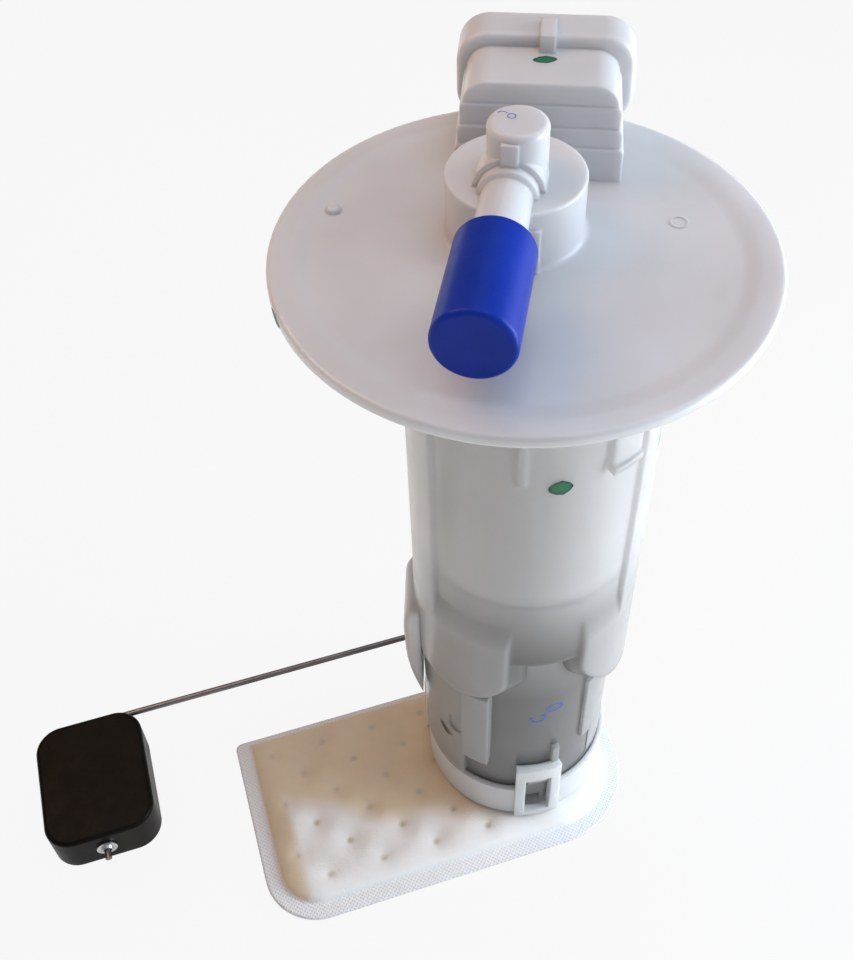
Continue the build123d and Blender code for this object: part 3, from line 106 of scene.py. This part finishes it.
def mix_colours(tree, factor, first, second):
    """Colour between two colours or colour outputs."""
    node = tree.nodes.new("ShaderNodeMix")
    node.data_type = "RGBA"
    tree.links.new(factor, node.inputs[0])
    for socket, colour in ((node.inputs[6], first), (node.inputs[7], second)):
        if isinstance(colour, tuple):
            socket.default_value = (*colour, 1)
        else:
            tree.links.new(colour, socket)
    return node.outputs[2]


# ---------------------------------------------------------------- materials
BEVEL_SAMPLES = 6


class Finish:
    """A node material under construction: Object coordinates, one Principled shader."""

    def __init__(self, name, colour, roughness, metallic=0.0, ior=1.5):
        self.material = bpy.data.materials.new(name)
        self.material.use_nodes = True
        self.tree = self.material.node_tree
        self.shader = self.tree.nodes["Principled BSDF"]
        self.place = self.tree.nodes.new("ShaderNodeTexCoord").outputs["Object"]
        self.shader.inputs["Base Color"].default_value = (*colour, 1)
        self.shader.inputs["Roughness"].default_value = roughness
        self.shader.inputs["Metallic"].default_value = metallic
        self.shader.inputs["IOR"].default_value = ior

    def link(self, source, target):
        self.tree.links.new(source, target)

    def noise(self, scale, detail, roughness=0.55):
        """Fractal noise over the piece."""
        node = self.tree.nodes.new("ShaderNodeTexNoise")
        node.inputs["Scale"].default_value = scale
        node.inputs["Detail"].default_value = detail
        node.inputs["Roughness"].default_value = roughness
        self.link(self.place, node.inputs["Vector"])
        return node.outputs["Fac"]

    def height(self, low, high, out_low, out_high):
        """Share that follows the height above the frame's zero, in millimetres."""
        split = self.tree.nodes.new("ShaderNodeSeparateXYZ")
        self.link(self.place, split.inputs[0])
        return self.spread(split.outputs["Z"], low * MM, high * MM, out_low, out_high)

    def wall_radius(self, low, high, out_low, out_high):
        """Share that follows the distance from the housing's upright axis, in millimetres."""
        level = self.tree.nodes.new("ShaderNodeMapping")
        level.inputs["Location"].default_value = (-HOUSING_X * MM, 0, 0)
        level.inputs["Scale"].default_value = (1, 1, 0)
        self.link(self.place, level.inputs["Vector"])
        length = self.tree.nodes.new("ShaderNodeVectorMath")
        length.operation = "LENGTH"
        self.link(level.outputs["Vector"], length.inputs[0])
        return self.spread(length.outputs["Value"], low * MM, high * MM, out_low, out_high)

    def attribute(self, name):
        """A number stored on the mesh's points."""
        node = self.tree.nodes.new("ShaderNodeAttribute")
        node.attribute_name = name
        return node.outputs["Fac"]

    def spread(self, value, low, high, out_low, out_high):
        """Value between low and high, carried to between out_low and out_high."""
        return map_range(self.tree, value, low, high, out_low, out_high)

    def blend(self, factor, first, second):
        """Colour between two colours or colour outputs."""
        return mix_colours(self.tree, factor, first, second)

    def maths(self, operation, first, second):
        """One arithmetic step on two values."""
        node = self.tree.nodes.new("ShaderNodeMath")
        node.operation = operation
        for socket, value in zip(node.inputs, (first, second)):
            if isinstance(value, (int, float)):
                socket.default_value = value
            else:
                self.link(value, socket)
        return node.outputs["Value"]

    def colour(self, output):
        self.link(output, self.shader.inputs["Base Color"])
        return self

    def roughness(self, output):
        self.link(output, self.shader.inputs["Roughness"])
        return self

    def relief(self, height, distance, strength, rounding=0.0):
        """Bump from a height between 0 and 1, distance in metres; rounding softens the piece's edges."""
        node = self.tree.nodes.new("ShaderNodeBump")
        node.inputs["Distance"].default_value = distance
        node.inputs["Strength"].default_value = strength
        self.link(height, node.inputs["Height"])
        if rounding:
            soft = self.tree.nodes.new("ShaderNodeBevel")
            soft.samples = BEVEL_SAMPLES
            soft.inputs["Radius"].default_value = rounding
            self.link(soft.outputs["Normal"], node.inputs["Normal"])
        self.link(node.outputs["Normal"], self.shader.inputs["Normal"])
        return self

    def through(self, transmission, subsurface, depth):
        """Light let through the wall and light scattered inside it."""
        self.shader.inputs["Transmission Weight"].default_value = transmission
        self.shader.inputs["Subsurface Weight"].default_value = subsurface
        self.shader.inputs["Subsurface Radius"].default_value = (1.0, 0.95, 0.9)
        self.shader.inputs["Subsurface Scale"].default_value = depth
        return self


MILKY_ROUGHNESS = (0.30, 0.44)
COAT_WEIGHT = 0.4
COAT_ROUGHNESS = 0.16
DULL_SHARE = 0.75


def milky(name, first, second, transmission, scatter=0.4, rounding=0.0009, painted_pump_shade=None):
    """Translucent moulded plastic: slow colour drift, uneven gloss, faint flow ripples.

    The optional grey is painted shade: the steel pump body behind the wall, painted into the
    wall's colour. It fades out upwards between two heights, and outwards between two wall radii,
    where pads and rails make the plastic thicker.
    """
    made = Finish(name, first, 0.35, ior=1.42)
    drift = made.noise(28, 3, 0.5)
    wall = made.blend(made.spread(drift, 0.3, 0.7, 0, 1), first, second)
    # Painted shade: the grey of the pump behind the wall is mixed into the colour, fading upwards and
    # outwards.
    if painted_pump_shade:
        grey, low, high, thin, thick = painted_pump_shade
        upright = made.height(low, high, 1, 0)
        share = made.maths("MULTIPLY", upright, made.wall_radius(thin, thick, 1, 0.15))
        wall = made.blend(share, wall, grey)
    made.colour(wall)
    made.roughness(made.spread(made.noise(70, 4, 0.6), 0.25, 0.75, *MILKY_ROUGHNESS))
    fine = made.maths("MULTIPLY", made.noise(900, 2, 0.5), 0.08)
    made.relief(made.maths("ADD", made.noise(90, 2, 0.5), fine), 0.00025, 0.5, rounding)
    made.shader.inputs["Coat Weight"].default_value = COAT_WEIGHT
    made.shader.inputs["Coat Roughness"].default_value = COAT_ROUGHNESS
    return made.through(transmission, scatter, 0.006)


def metal(name, colour, roughness):
    """Bare metal with a fine grain and dull patches."""
    made = Finish(name, colour, roughness, metallic=1.0)
    dull = tuple(c * DULL_SHARE for c in colour)
    made.colour(made.blend(made.spread(made.noise(120, 4), 0.4, 0.65, 0, 1), colour, dull))
    made.roughness(made.spread(made.noise(300, 3), 0.3, 0.7, roughness * 0.9, roughness * 1.3))
    return made.relief(made.noise(1500, 2), 0.00004, 0.5)


def moulded(name, colour, roughness, grain_scale=1800, depth=0.00004, gloss=0.5):
    """Opaque moulded plastic or rubber with a fine grain."""
    made = Finish(name, colour, roughness)
    made.shader.inputs["Specular IOR Level"].default_value = gloss
    paler = tuple(min(1.0, c * 1.3 + 0.002) for c in colour)
    made.colour(made.blend(made.spread(made.noise(60, 4), 0.35, 0.7, 0, 1), colour, paler))
    made.roughness(made.spread(made.noise(200, 3), 0.3, 0.7, roughness * 0.9, min(1.0, roughness * 1.15)))
    return made.relief(made.noise(grain_scale, 2), depth, 0.6)


flange_plastic = milky("flange_plastic", (0.66, 0.65, 0.66), (0.59, 0.57, 0.57), 0.05)
# The housing carries painted shade of the pump behind its wall.
housing_plastic = milky(
    "housing_plastic", (0.88, 0.86, 0.85), (0.82, 0.80, 0.79), 0.62, scatter=0.6, rounding=0.0025,
    painted_pump_shade=((0.20, 0.19, 0.18), -124.0, -89.0, 33.2, 34.6),
)
# The shell carries painted shade of the pump behind its wall.
shell_plastic = milky(
    "shell_plastic", (0.80, 0.785, 0.765), (0.74, 0.725, 0.705), 0.72, scatter=0.5, rounding=0.0012,
    painted_pump_shade=((0.30, 0.295, 0.285), -150.0, -120.0, 29.68, 29.88),
)
cup_plastic = milky("cup_plastic", (0.86, 0.85, 0.845), (0.80, 0.79, 0.785), 0.30, scatter=0.6)
inner_plastic = milky("inner_plastic", (0.80, 0.80, 0.79), (0.72, 0.72, 0.71), 0.10, rounding=0.0)
cap_plastic = moulded("cap_plastic", (0.002, 0.022, 0.26), 0.31, 1400, 0.00005, gloss=0.15)
black_plastic = moulded("black_plastic", (0.018, 0.018, 0.020), 0.5)
black_rubber = moulded("black_rubber", (0.014, 0.014, 0.014), 0.75)
float_foam = moulded("float_foam", (0.003, 0.002, 0.001), 0.38, 2600, 0.00009, gloss=0.07)
ceramic = moulded("card_ceramic", (0.55, 0.55, 0.50), 0.35)
carbon = moulded("pressed_carbon", (0.03, 0.03, 0.032), 0.6)
magnet_iron = moulded("sintered_magnet", (0.05, 0.05, 0.055), 0.55)
paper = moulded("filter_paper", (0.62, 0.57, 0.43), 0.9, 900, 0.00012)
dark_steel = metal("coated_steel", (0.02, 0.02, 0.02), 0.45)
zinc = metal("zinc_plate", (0.46, 0.46, 0.45), 0.36)
bright_nut = metal("nut_plate", (0.60, 0.60, 0.60), 0.32)
wire_steel = metal("drawn_wire", (0.22, 0.20, 0.19), 0.36)
steel = metal("turned_steel", (0.45, 0.44, 0.43), 0.33)
tin = metal("tinned_blade", (0.70, 0.66, 0.56), 0.32)
copper = metal("enamelled_copper", (0.55, 0.24, 0.10), 0.35)

FINISHES = {
    "flange": flange_plastic,
    "upper_housing": housing_plastic,
    "lower_shell": shell_plastic,
    "bottom_cup": cup_plastic,
    "filter_cover": inner_plastic,
    "strainer_frame": inner_plastic,
    "sender_body": cup_plastic,
    "wiper_hub": cup_plastic,
    "outlet_cap": cap_plastic,
    "power_terminals": tin,
    "sender_terminals": tin,
    "wiper_contact": tin,
    "filter_element": paper,
    "filter_core": black_plastic,
    "filter_top_cap": inner_plastic,
    "filter_bottom_cap": inner_plastic,
    "pump_outlet_cover": black_plastic,
    "pump_chamber_plate": black_plastic,
    "pump_inlet_cover": black_plastic,
    "check_valve_poppet": black_plastic,
    "check_valve_retainer": black_plastic,
    "impeller": black_plastic,
    "outlet_o_ring": black_rubber,
    "regulator_o_ring": black_rubber,
    "regulator_diaphragm": black_rubber,
    "pump_outlet_seal": black_rubber,
    "pump_cushion": black_rubber,
    "pump_collar": black_rubber,
    "regulator_body": zinc,
    "regulator_cap": zinc,
    "pump_can": dark_steel,
    "push_nut": bright_nut,
    "regulator_valve": steel,
    "regulator_spring": steel,
    "check_valve_spring": steel,
    "pump_shaft": steel,
    "armature_core": steel,
    "float_arm": wire_steel,
    "armature_windings": copper,
    "commutator": copper,
    "carbon_brushes": carbon,
    "top_bush": carbon,
    "bottom_bush": carbon,
    "magnets": magnet_iron,
    "resistor_card": ceramic,
    "float_body": float_foam,
    "float_end_cap": float_foam,
}


def dress(node, finish):
    """Gives a CAD node its finish; its mesh stays as it is."""
    node.data.materials.clear()
    node.data.materials.append(finish.material)
    polygons = node.data.polygons
    polygons.foreach_set("material_index", np.zeros(len(polygons), np.int32))


for name, finish in FINISHES.items():
    dress(nodes[name], finish)


# ---------------------------------------------------------------- meshes from arrays
CORNER_POINTS = 40


def grid_faces(rows, columns, wrap):
    """Quads of a grid of points; wrap joins the last column to the first."""
    r = np.arange(rows - 1)[:, None]
    c = np.arange(columns if wrap else columns - 1)[None, :]
    n = (c + 1) % columns
    return np.stack(
        [r * columns + c, r * columns + n, (r + 1) * columns + n, (r + 1) * columns + c], axis=-1
    ).reshape(-1, 4)


def make_piece(name, points, faces, finish, body):
    """Mesh object at the origin from points in millimetres and quads, on a CAD body."""
    mesh = bpy.data.meshes.new(name)
    mesh.from_pydata((points * MM).tolist(), [], faces.tolist())
    mesh.polygons.foreach_set("use_smooth", np.ones(len(mesh.polygons), bool))
    mesh.materials.append(finish.material)
    piece = bpy.data.objects.new(name, mesh)
    scene.collection.objects.link(piece)
    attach(piece, body)
    return piece


def store(piece, name, values):
    """Puts one number for each point on the piece's mesh."""
    layer = piece.data.attributes.new(name, "FLOAT", "POINT")
    layer.data.foreach_set("value", values.ravel().astype(np.float32))


def smooth(value):
    """Soft step: 0 below 0, 1 above 1, level at both ends."""
    value = np.clip(value, 0, 1)
    return value * value * (3 - 2 * value)


def rounded_outline(left, right, near, far, radii, count):
    """Points round a rectangle whose corners have their own radii, evenly spaced by length.

    Corners in order: right-near, right-far, left-far, left-near.
    """
    corners = [
        (right - radii[0], near + radii[0], -90, radii[0]),
        (right - radii[1], far - radii[1], 0, radii[1]),
        (left + radii[2], far - radii[2], 90, radii[2]),
        (left + radii[3], near + radii[3], 180, radii[3]),
    ]
    runs = []
    for x, y, start, radius in corners:
        turn = np.radians(np.linspace(start, start + 90, CORNER_POINTS))
        runs.append(np.stack([x + radius * np.cos(turn), y + radius * np.sin(turn)], axis=1))
    path = np.concatenate(runs + [runs[0][:1]])
    steps = np.concatenate([[0], np.cumsum(np.linalg.norm(np.diff(path, axis=0), axis=1))])
    wanted = np.linspace(0, steps[-1], count, endpoint=False)
    return np.stack([np.interp(wanted, steps, path[:, k]) for k in (0, 1)], axis=1)


# ---------------------------------------------------------------- valve springs
STEPS_PER_TURN = 48
WIRE_SIDES = 12


def coil_spring(node, middle, low, high, radius, wire, turns):
    """Round wire round a rising circle: its height keeps step with the angle.
    """
    angle = np.linspace(0, 2 * np.pi * turns, STEPS_PER_TURN * turns + 1)
    rise = (high - low) / angle[-1]
    outward = np.stack([np.cos(angle), np.sin(angle), np.zeros_like(angle)], axis=1)
    heading = np.stack(
        [-radius * np.sin(angle), radius * np.cos(angle), np.full_like(angle, rise)], axis=1
    )
    heading /= np.linalg.norm(heading, axis=1)[:, None]
    upward = np.cross(heading, outward)
    centre = np.array([*middle, low]) + radius * outward + rise * angle[:, None] * np.array([0, 0, 1])
    around = np.linspace(0, 2 * np.pi, WIRE_SIDES, endpoint=False)[None, :, None]
    tube = centre[:, None] + wire * (np.cos(around) * outward[:, None] + np.sin(around) * upward[:, None])
    caps = [np.repeat(centre[k][None, None], WIRE_SIDES, axis=1) for k in (0, -1)]
    points = np.concatenate([caps[0], tube, caps[1]])
    faces = grid_faces(len(points), WIRE_SIDES, True)
    piece = make_piece(node + "_wire", points.reshape(-1, 3), faces, steel, "module")
    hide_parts(node)
    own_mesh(piece)


coil_spring(
    "check_valve_spring", (4.0, 9.0), low=-110.84, high=-103.64, radius=1.7, wire=0.25, turns=4,
)
coil_spring(
    "regulator_spring", (21.0, -8.0), low=-9.79, high=-5.73, radius=3.2, wire=0.45, turns=3,
)


# ---------------------------------------------------------------- strainer bag
BAG = dict(left=-97.0, right=38.0, near=-45.2, far=28.6)
BAG_RADII = (30.0, 30.0, 2.5, 19.0)
BAND_WIDTH = 5.4
BAND_FADE = 0.6
CROWN_RUN = 10.0
SINK_RUN = 4.0
SWELL = 0.22
DIMPLES = ((0.5, 1.3), (0.9, 4.6))
WELD_REACH = 1.2
FAR_TUCK = 3.6
BAND_TOP = -228.4
BAND_LOW = -229.6
BAG_TOP = -224.6
PORT = np.array([12.0, 0.0])
PORT_GAP = 6.9
SPINE_ENDS = (-60.0, 0.0)
SPINE_ACROSS = -8.3
RIM_POINTS = 440
TOP_ROWS = 120
UNDER_ROWS = 24
WELD_ROWS = 6
WELD_START = -84.8
WELD_END = -8.0
WELD_STEP = 19.2
WELD_FAR_ROW = 18.4
WELD_ROW_GAP = 10.1


def edge_distance(u, v):
    """Distance inside the bag's outline: that of a box whose corner radius changes by quadrant.

    The far side is taken a little further out, so the cloth puffs up closer to that edge.
    """
    far = BAG["far"] + FAR_TUCK
    half_u, half_v = (BAG["right"] - BAG["left"]) / 2, (far - BAG["near"]) / 2
    x = u - (BAG["right"] + BAG["left"]) / 2
    y = v - (far + BAG["near"]) / 2
    radius = np.where(x > 0, BAG_RADII[0], np.where(y > 0, BAG_RADII[2], BAG_RADII[3]))
    qx, qy = np.abs(x) - half_u + radius, np.abs(y) - half_v + radius
    outside = np.hypot(np.maximum(qx, 0), np.maximum(qy, 0))
    return -(np.minimum(np.maximum(qx, qy), 0) + outside - radius)


def weld_dots():
    """Places of the spot welds: staggered rows along the bag."""
    rows = []
    for k in range(WELD_ROWS):
        u = np.arange(WELD_START + (k % 2) * WELD_STEP / 2, WELD_END, WELD_STEP)
        rows.append(np.stack([u, np.full_like(u, WELD_FAR_ROW - WELD_ROW_GAP * k)], axis=1))
    return np.concatenate(rows)


def bag_height(u, v, dots):
    """Top of the bag, a crown pressed in at each spot weld, and the share of each weld's mark."""
    depth = np.clip((edge_distance(u, v) - BAND_WIDTH) / CROWN_RUN, 0, 1)
    crown = (BAG_TOP - BAND_TOP) * np.sqrt(1 - (1 - depth) ** 2)
    gap = np.sqrt(((u[..., None] - dots[:, 0]) ** 2 + (v[..., None] - dots[:, 1]) ** 2).min(axis=-1))
    press = sum(deep * np.exp(-((gap / reach) ** 2)) for deep, reach in DIMPLES)
    swell = SWELL * np.sin(0.31 * u + 0.13 * v + 1.2) * np.sin(0.24 * v - 0.09 * u) - SWELL
    height = BAND_TOP + np.maximum(crown + (swell - press) * depth, 0)
    return height, np.exp(-((gap / WELD_REACH) ** 4)) * depth


def bag_top(rim, hole):
    """Rows of the top from the rim to the hole, with the shares of the band and of the welds."""
    share = np.linspace(0, 1, TOP_ROWS)[:, None, None]
    flat = rim[None] * (1 - share) + hole[None] * share
    u, v = flat[..., 0], flat[..., 1]
    height, weld = bag_height(u, v, weld_dots())
    band = 1 - np.clip((edge_distance(u, v) - BAND_WIDTH + BAND_FADE / 2) / BAND_FADE, 0, 1)
    return np.concatenate([flat, height[..., None]], axis=2), band, weld


def bag_underside(rim):
    """Rows of the underside from the rim to the spine: it sinks from the band to the floor."""
    spine = np.stack([np.clip(rim[:, 0], *SPINE_ENDS), np.full(len(rim), SPINE_ACROSS)], axis=1)
    share = np.linspace(0, 1, UNDER_ROWS)[:, None, None]
    flat = rim[None] * (1 - share) + spine[None] * share
    sink = smooth((edge_distance(flat[..., 0], flat[..., 1]) - BAND_WIDTH) / SINK_RUN)
    height = BAND_LOW + (FLOOR_Z - BAND_LOW) * sink
    return np.concatenate([flat, height[..., None]], axis=2)


def stain_and_shade_share(u, v):
    """Brown share, partly a stain and partly painted shade: beyond a wavy border line and at the left
    end, fading out towards the port.
    """
    brown_border = 36.0 + 0.40 * u + 2.6 * np.sin(u / 11.0) + 1.2 * np.sin(u / 4.7)
    stain_and_shade_amount = smooth(np.maximum((v + brown_border) / 11.0 + 0.5, (-81.0 - u) / 5.0))
    return stain_and_shade_amount * np.clip((8.0 - u) / 20.0, 0, 1)


def strainer_bag():
    """Closed bag: a band round the edge, a crowned top with a hole for the port, a flat underside."""
    rim = rounded_outline(**BAG, radii=BAG_RADII, count=RIM_POINTS)
    port = np.array([PORT @ ALONG, PORT @ ACROSS])
    bearing = rim - port
    hole = port + PORT_GAP * bearing / np.linalg.norm(bearing, axis=1)[:, None]
    top, band, weld = bag_top(rim, hole)
    lip = np.concatenate([hole, np.full((RIM_POINTS, 1), top[-1, :, 2].min() - 1.0)], axis=1)
    skin = np.concatenate([bag_underside(rim)[::-1], top, lip[None]])
    u, v, z = skin[..., 0], skin[..., 1], skin[..., 2]
    points = np.stack([u * ALONG[0] + v * ACROSS[0], u * ALONG[1] + v * ACROSS[1], z], axis=-1)
    faces = grid_faces(len(skin), RIM_POINTS, True)
    piece = make_piece("strainer_bag", points.reshape(-1, 3), faces, mesh_cloth, "module")
    under, inside = np.zeros((UNDER_ROWS, RIM_POINTS)), np.zeros((1, RIM_POINTS))
    store(piece, "band", np.concatenate([under + 1, band, inside]))
    store(piece, "weld", np.concatenate([under, weld, inside]))
    # Brown share on the points: partly a stain, partly painted shade.
    store(piece, "stain_and_shade", stain_and_shade_share(u, v))
    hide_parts("suction_sock")


def diamond_weave(made):
    """Threads along both diagonals of the bag."""
    waves = []
    for turn in (45, -45):
        mapping = made.tree.nodes.new("ShaderNodeMapping")
        mapping.inputs["Rotation"].default_value = (0, 0, math.radians(turn - LEAN_DEGREES))
        made.link(made.place, mapping.inputs["Vector"])
        wave = made.tree.nodes.new("ShaderNodeTexWave")
        wave.inputs["Scale"].default_value = 300.0
        wave.inputs["Distortion"].default_value = 0.6
        wave.inputs["Detail"].default_value = 1.0
        made.link(mapping.outputs["Vector"], wave.inputs["Vector"])
        waves.append(wave.outputs["Fac"])
    return made.maths("MAXIMUM", *waves)


def woven_mesh():
    """Felted cream cloth, brown where it is stained and where shade is painted, darker at the spot welds;
    the grey band shows its weave.
    """
    made = Finish("woven_mesh", (0.74, 0.71, 0.64), 0.85)
    clouds = made.spread(made.noise(35, 4), 0.35, 0.65, 0, 1)
    cream = made.blend(clouds, (0.76, 0.74, 0.72), (0.71, 0.685, 0.655))
    brown_mottle = made.spread(made.noise(40, 4), 0.35, 0.7, 0, 1)
    brown = made.blend(brown_mottle, (0.66, 0.545, 0.395), (0.58, 0.47, 0.33))
    # Brown on the far side and the left end: partly a stain, partly painted shade.
    stained_and_shaded = made.blend(made.attribute("stain_and_shade"), cream, brown)
    pressed = made.blend(made.attribute("weld"), stained_and_shaded, (0.50, 0.44, 0.36))
    weave = diamond_weave(made)
    threads = made.spread(weave, 0.3, 0.9, 0, 1)
    grey = made.blend(threads, (0.66, 0.66, 0.66), (0.74, 0.74, 0.74))
    made.colour(made.blend(made.attribute("band"), pressed, grey))
    fuzz = made.maths("ADD", made.maths("MULTIPLY", made.noise(1400, 3), 0.5), made.noise(160, 3))
    ridges = made.maths("MULTIPLY", made.maths("MULTIPLY", weave, 0.5), made.attribute("band"))
    return made.relief(made.maths("ADD", fuzz, ridges), 0.0003, 0.6)


mesh_cloth = woven_mesh()
strainer_bag()


# ---------------------------------------------------------------- inspection marks, and a painted shadow in the slit
CASE_WALL = 33.06
RAIL_WALL = 34.26
RIM_WALL = 60.05
SHELL_WALL = 29.66
CUP_WALL = 32.4
HOOD_TOP = 28.33
TOWER_TOP = 32.33
DAB_ROWS, DAB_POINTS = 13, 33
STROKE_ROWS, STROKE_POINTS = 5, 61
RIM_START = 0.62
RIM_FADE = 0.25


def pen(name, colour, edge):
    """Marker ink: streaky, darker where it dried at the edge of the mark."""
    made = Finish(name, colour, 0.45)
    paler = tuple(c * 1.3 + 0.01 for c in colour)
    streaks = made.blend(made.spread(made.noise(900, 4), 0.45, 0.75, 0, 1), colour, paler)
    return made.colour(made.blend(made.attribute("rim"), streaks, edge))


green_ink = pen("green_ink", (0.0, 0.13, 0.055), (0.0, 0.035, 0.015))
teal_ink = pen("teal_ink", (0.05, 0.36, 0.30), (0.03, 0.24, 0.22))
blue_ink = pen("blue_ink", (0.06, 0.11, 0.44), (0.05, 0.09, 0.38))
# Painted shadow, made with the ink function: black for the shade inside the slot.
painted_slit_shadow = pen("painted_slit_shadow", (0.004, 0.004, 0.004), (0.004, 0.004, 0.004))


def dab(half_length, half_width):
    """Ink dab, pointed at its ends: width falls as a rounded arch over its length."""
    along = np.linspace(-1, 1, DAB_POINTS)
    side = np.linspace(-1, 1, DAB_ROWS)[:, None]
    wobble = 1 + 0.06 * np.sin(5.1 * along + 1.0) + 0.04 * np.sin(11.7 * along)
    width = side * (half_width * (1 - np.abs(along) ** 2.4) ** 0.75 * wobble)
    return np.stack([np.broadcast_to(along * half_length, width.shape), width], axis=-1)


def stroke(radius, start, end, half_width, pinch=1.0):
    """Pen line along part of an ellipse: angle from start to end in degrees, pinch its height share."""
    turn = np.radians(np.linspace(start, end, STROKE_POINTS))
    reach = radius + np.linspace(-half_width, half_width, STROKE_ROWS)[:, None]
    return np.stack([reach * np.cos(turn), pinch * reach * np.sin(turn)], axis=-1)


def turned(flat, degrees):
    """The flat mark turned in its own plane."""
    c, s = math.cos(math.radians(degrees)), math.sin(math.radians(degrees))
    return flat @ np.array([[c, s], [-s, c]])


def draw(name, flat, points, ink):
    """Mark from its flat grid and the points it lands on; its ink darkens towards the rim."""
    rows, columns = flat.shape[:2]
    piece = make_piece(
        name, points.reshape(-1, 3), grid_faces(rows, columns, False), ink, "module"
    )
    row = np.abs(np.linspace(-1, 1, rows))[:, None]
    column = np.abs(np.linspace(-1, 1, columns))[None, :]
    store(piece, "rim", np.clip((np.maximum(row, column) - RIM_START) / RIM_FADE, 0, 1))


def draw_on_wall(name, flat, angle, height, radius, ink, middle=HOUSING_X):
    """Mark wrapped on an upright round wall at a bearing and a height."""
    bearing = math.radians(angle) + flat[..., 0] / radius
    points = np.stack(
        [middle + radius * np.cos(bearing), radius * np.sin(bearing), height + flat[..., 1]], axis=-1
    )
    draw(name, flat, points, ink)


def draw_on_top(name, flat, x, y, z, ink):
    """Mark on a level surface."""
    points = np.stack([x + flat[..., 0], y + flat[..., 1], np.full(flat.shape[:2], z)], axis=-1)
    draw(name, flat, points, ink)


draw_on_wall("case_mark", turned(dab(3.2, 2.5), 6.0), -76.5, -43.2, CASE_WALL, green_ink)
draw_on_wall("rail_mark", turned(dab(2.0, 0.8), 70.0), -15.5, -48.3, RAIL_WALL, teal_ink)
draw_on_wall("rim_mark", dab(3.6, 1.2), -155.0, 1.9, RIM_WALL, green_ink, 0.0)
draw_on_top("hood_mark", turned(dab(3.0, 1.5), 8.0), 2.3, 41.0, HOOD_TOP, green_ink)
ring, hook = stroke(2.6, 0, 360, 0.42, 0.75), stroke(2.4, -220, 60, 0.42, 0.85)
draw_on_wall("shell_ring", turned(ring, 20.0), -66.0, -156.6, SHELL_WALL, blue_ink)
draw_on_wall("shell_hook", turned(hook, 10.0), -76.0, -161.4, SHELL_WALL, blue_ink)
draw_on_top("tower_ring", stroke(0.9, 0, 360, 0.12), -4.3, 10.3, TOWER_TOP, blue_ink)
draw_on_top("tower_tick", turned(stroke(1.2, 10, 130, 0.12), 20.0), -6.4, 10.8, TOWER_TOP, blue_ink)
# Painted shade: a black dab laid over the slot where its shadow falls.
draw_on_wall("slit_shade", turned(dab(3.0, 1.0), -36.0), -137.0, -183.2, CUP_WALL, painted_slit_shadow)


# ---------------------------------------------------------------- floor and light
FLOOR_REACH = 3000.0
FLOOR_GAP = 0.05
FLOOR_GLOW = 0.905
ROOM_LEFT = (0.25, 0.20, 0.16)
ROOM_RIGHT = (0.42, 0.52, 0.64)


def lay_floor():
    """Large pale level sheet just under the bag."""
    z = FLOOR_Z - FLOOR_GAP
    corners = ((-1, -1), (1, -1), (1, 1), (-1, 1))
    points = np.array([(x * FLOOR_REACH, y * FLOOR_REACH, z) for x, y in corners])
    mesh = bpy.data.meshes.new("floor")
    mesh.from_pydata((points * MM).tolist(), [], [[0, 1, 2, 3]])
    floor = bpy.data.objects.new("floor", mesh)
    scene.collection.objects.link(floor)
    made = Finish("floor_paper", (0.03, 0.03, 0.03), 0.9)
    made.shader.inputs["Specular IOR Level"].default_value = 0.1
    made.colour(made.blend(made.noise(6, 2), (0.025, 0.025, 0.025), (0.035, 0.035, 0.035)))
    made.shader.inputs["Emission Color"].default_value = (1.0, 1.0, 1.0, 1)
    made.shader.inputs["Emission Strength"].default_value = FLOOR_GLOW
    mesh.materials.append(made.material)


def area_light(name, place, target, size, power, colour):
    """Soft rectangular lamp aimed at a point."""
    lamp = bpy.data.lights.new(name, "AREA")
    lamp.shape = "RECTANGLE"
    lamp.size, lamp.size_y = size
    lamp.energy = power
    lamp.color = colour
    light = bpy.data.objects.new(name, lamp)
    scene.collection.objects.link(light)
    light.location = place
    light.rotation_euler = (Vector(target) - Vector(place)).to_track_quat("-Z", "Y").to_euler()


lay_floor()
area_light("window", (0.46, 0.06, 0.02), (0.0, 0.0, -0.09), (0.4, 0.4), 3.7, (0.80, 0.90, 1.0))
area_light("overhead", (0.10, 0.15, 0.75), (0.0, 0.0, -0.1), (0.7, 0.7), 2.2, (0.76, 0.87, 1.0))
area_light("low_right", (0.26, -0.06, -0.12), (0.0, 0.0, -0.185), (0.12, 0.08), 0.36, (0.82, 0.91, 1.0))
area_light("lamp_left", (-0.35, 0.12, 0.42), (-0.02, 0.0, 0.0), (0.3, 0.3), 1.2, (1.0, 0.60, 0.37))


def light_room():
    """Room light: brown and dim on the left, cool and brighter on the right and behind the camera."""
    world = bpy.data.worlds.new("room")
    scene.world = world
    world.use_nodes = True
    tree = world.node_tree
    split = tree.nodes.new("ShaderNodeSeparateXYZ")
    tree.links.new(tree.nodes.new("ShaderNodeTexCoord").outputs["Generated"], split.inputs[0])
    side = map_range(tree, split.outputs["X"], -0.8, 0.8, 0, 1)
    strength = map_range(tree, split.outputs["Y"], -0.9, 0.6, 1.10, 0.92)
    background = tree.nodes["Background"].inputs
    tree.links.new(mix_colours(tree, side, ROOM_LEFT, ROOM_RIGHT), background["Color"])
    tree.links.new(strength, background["Strength"])


light_room()
scene.view_settings.view_transform = "Standard"
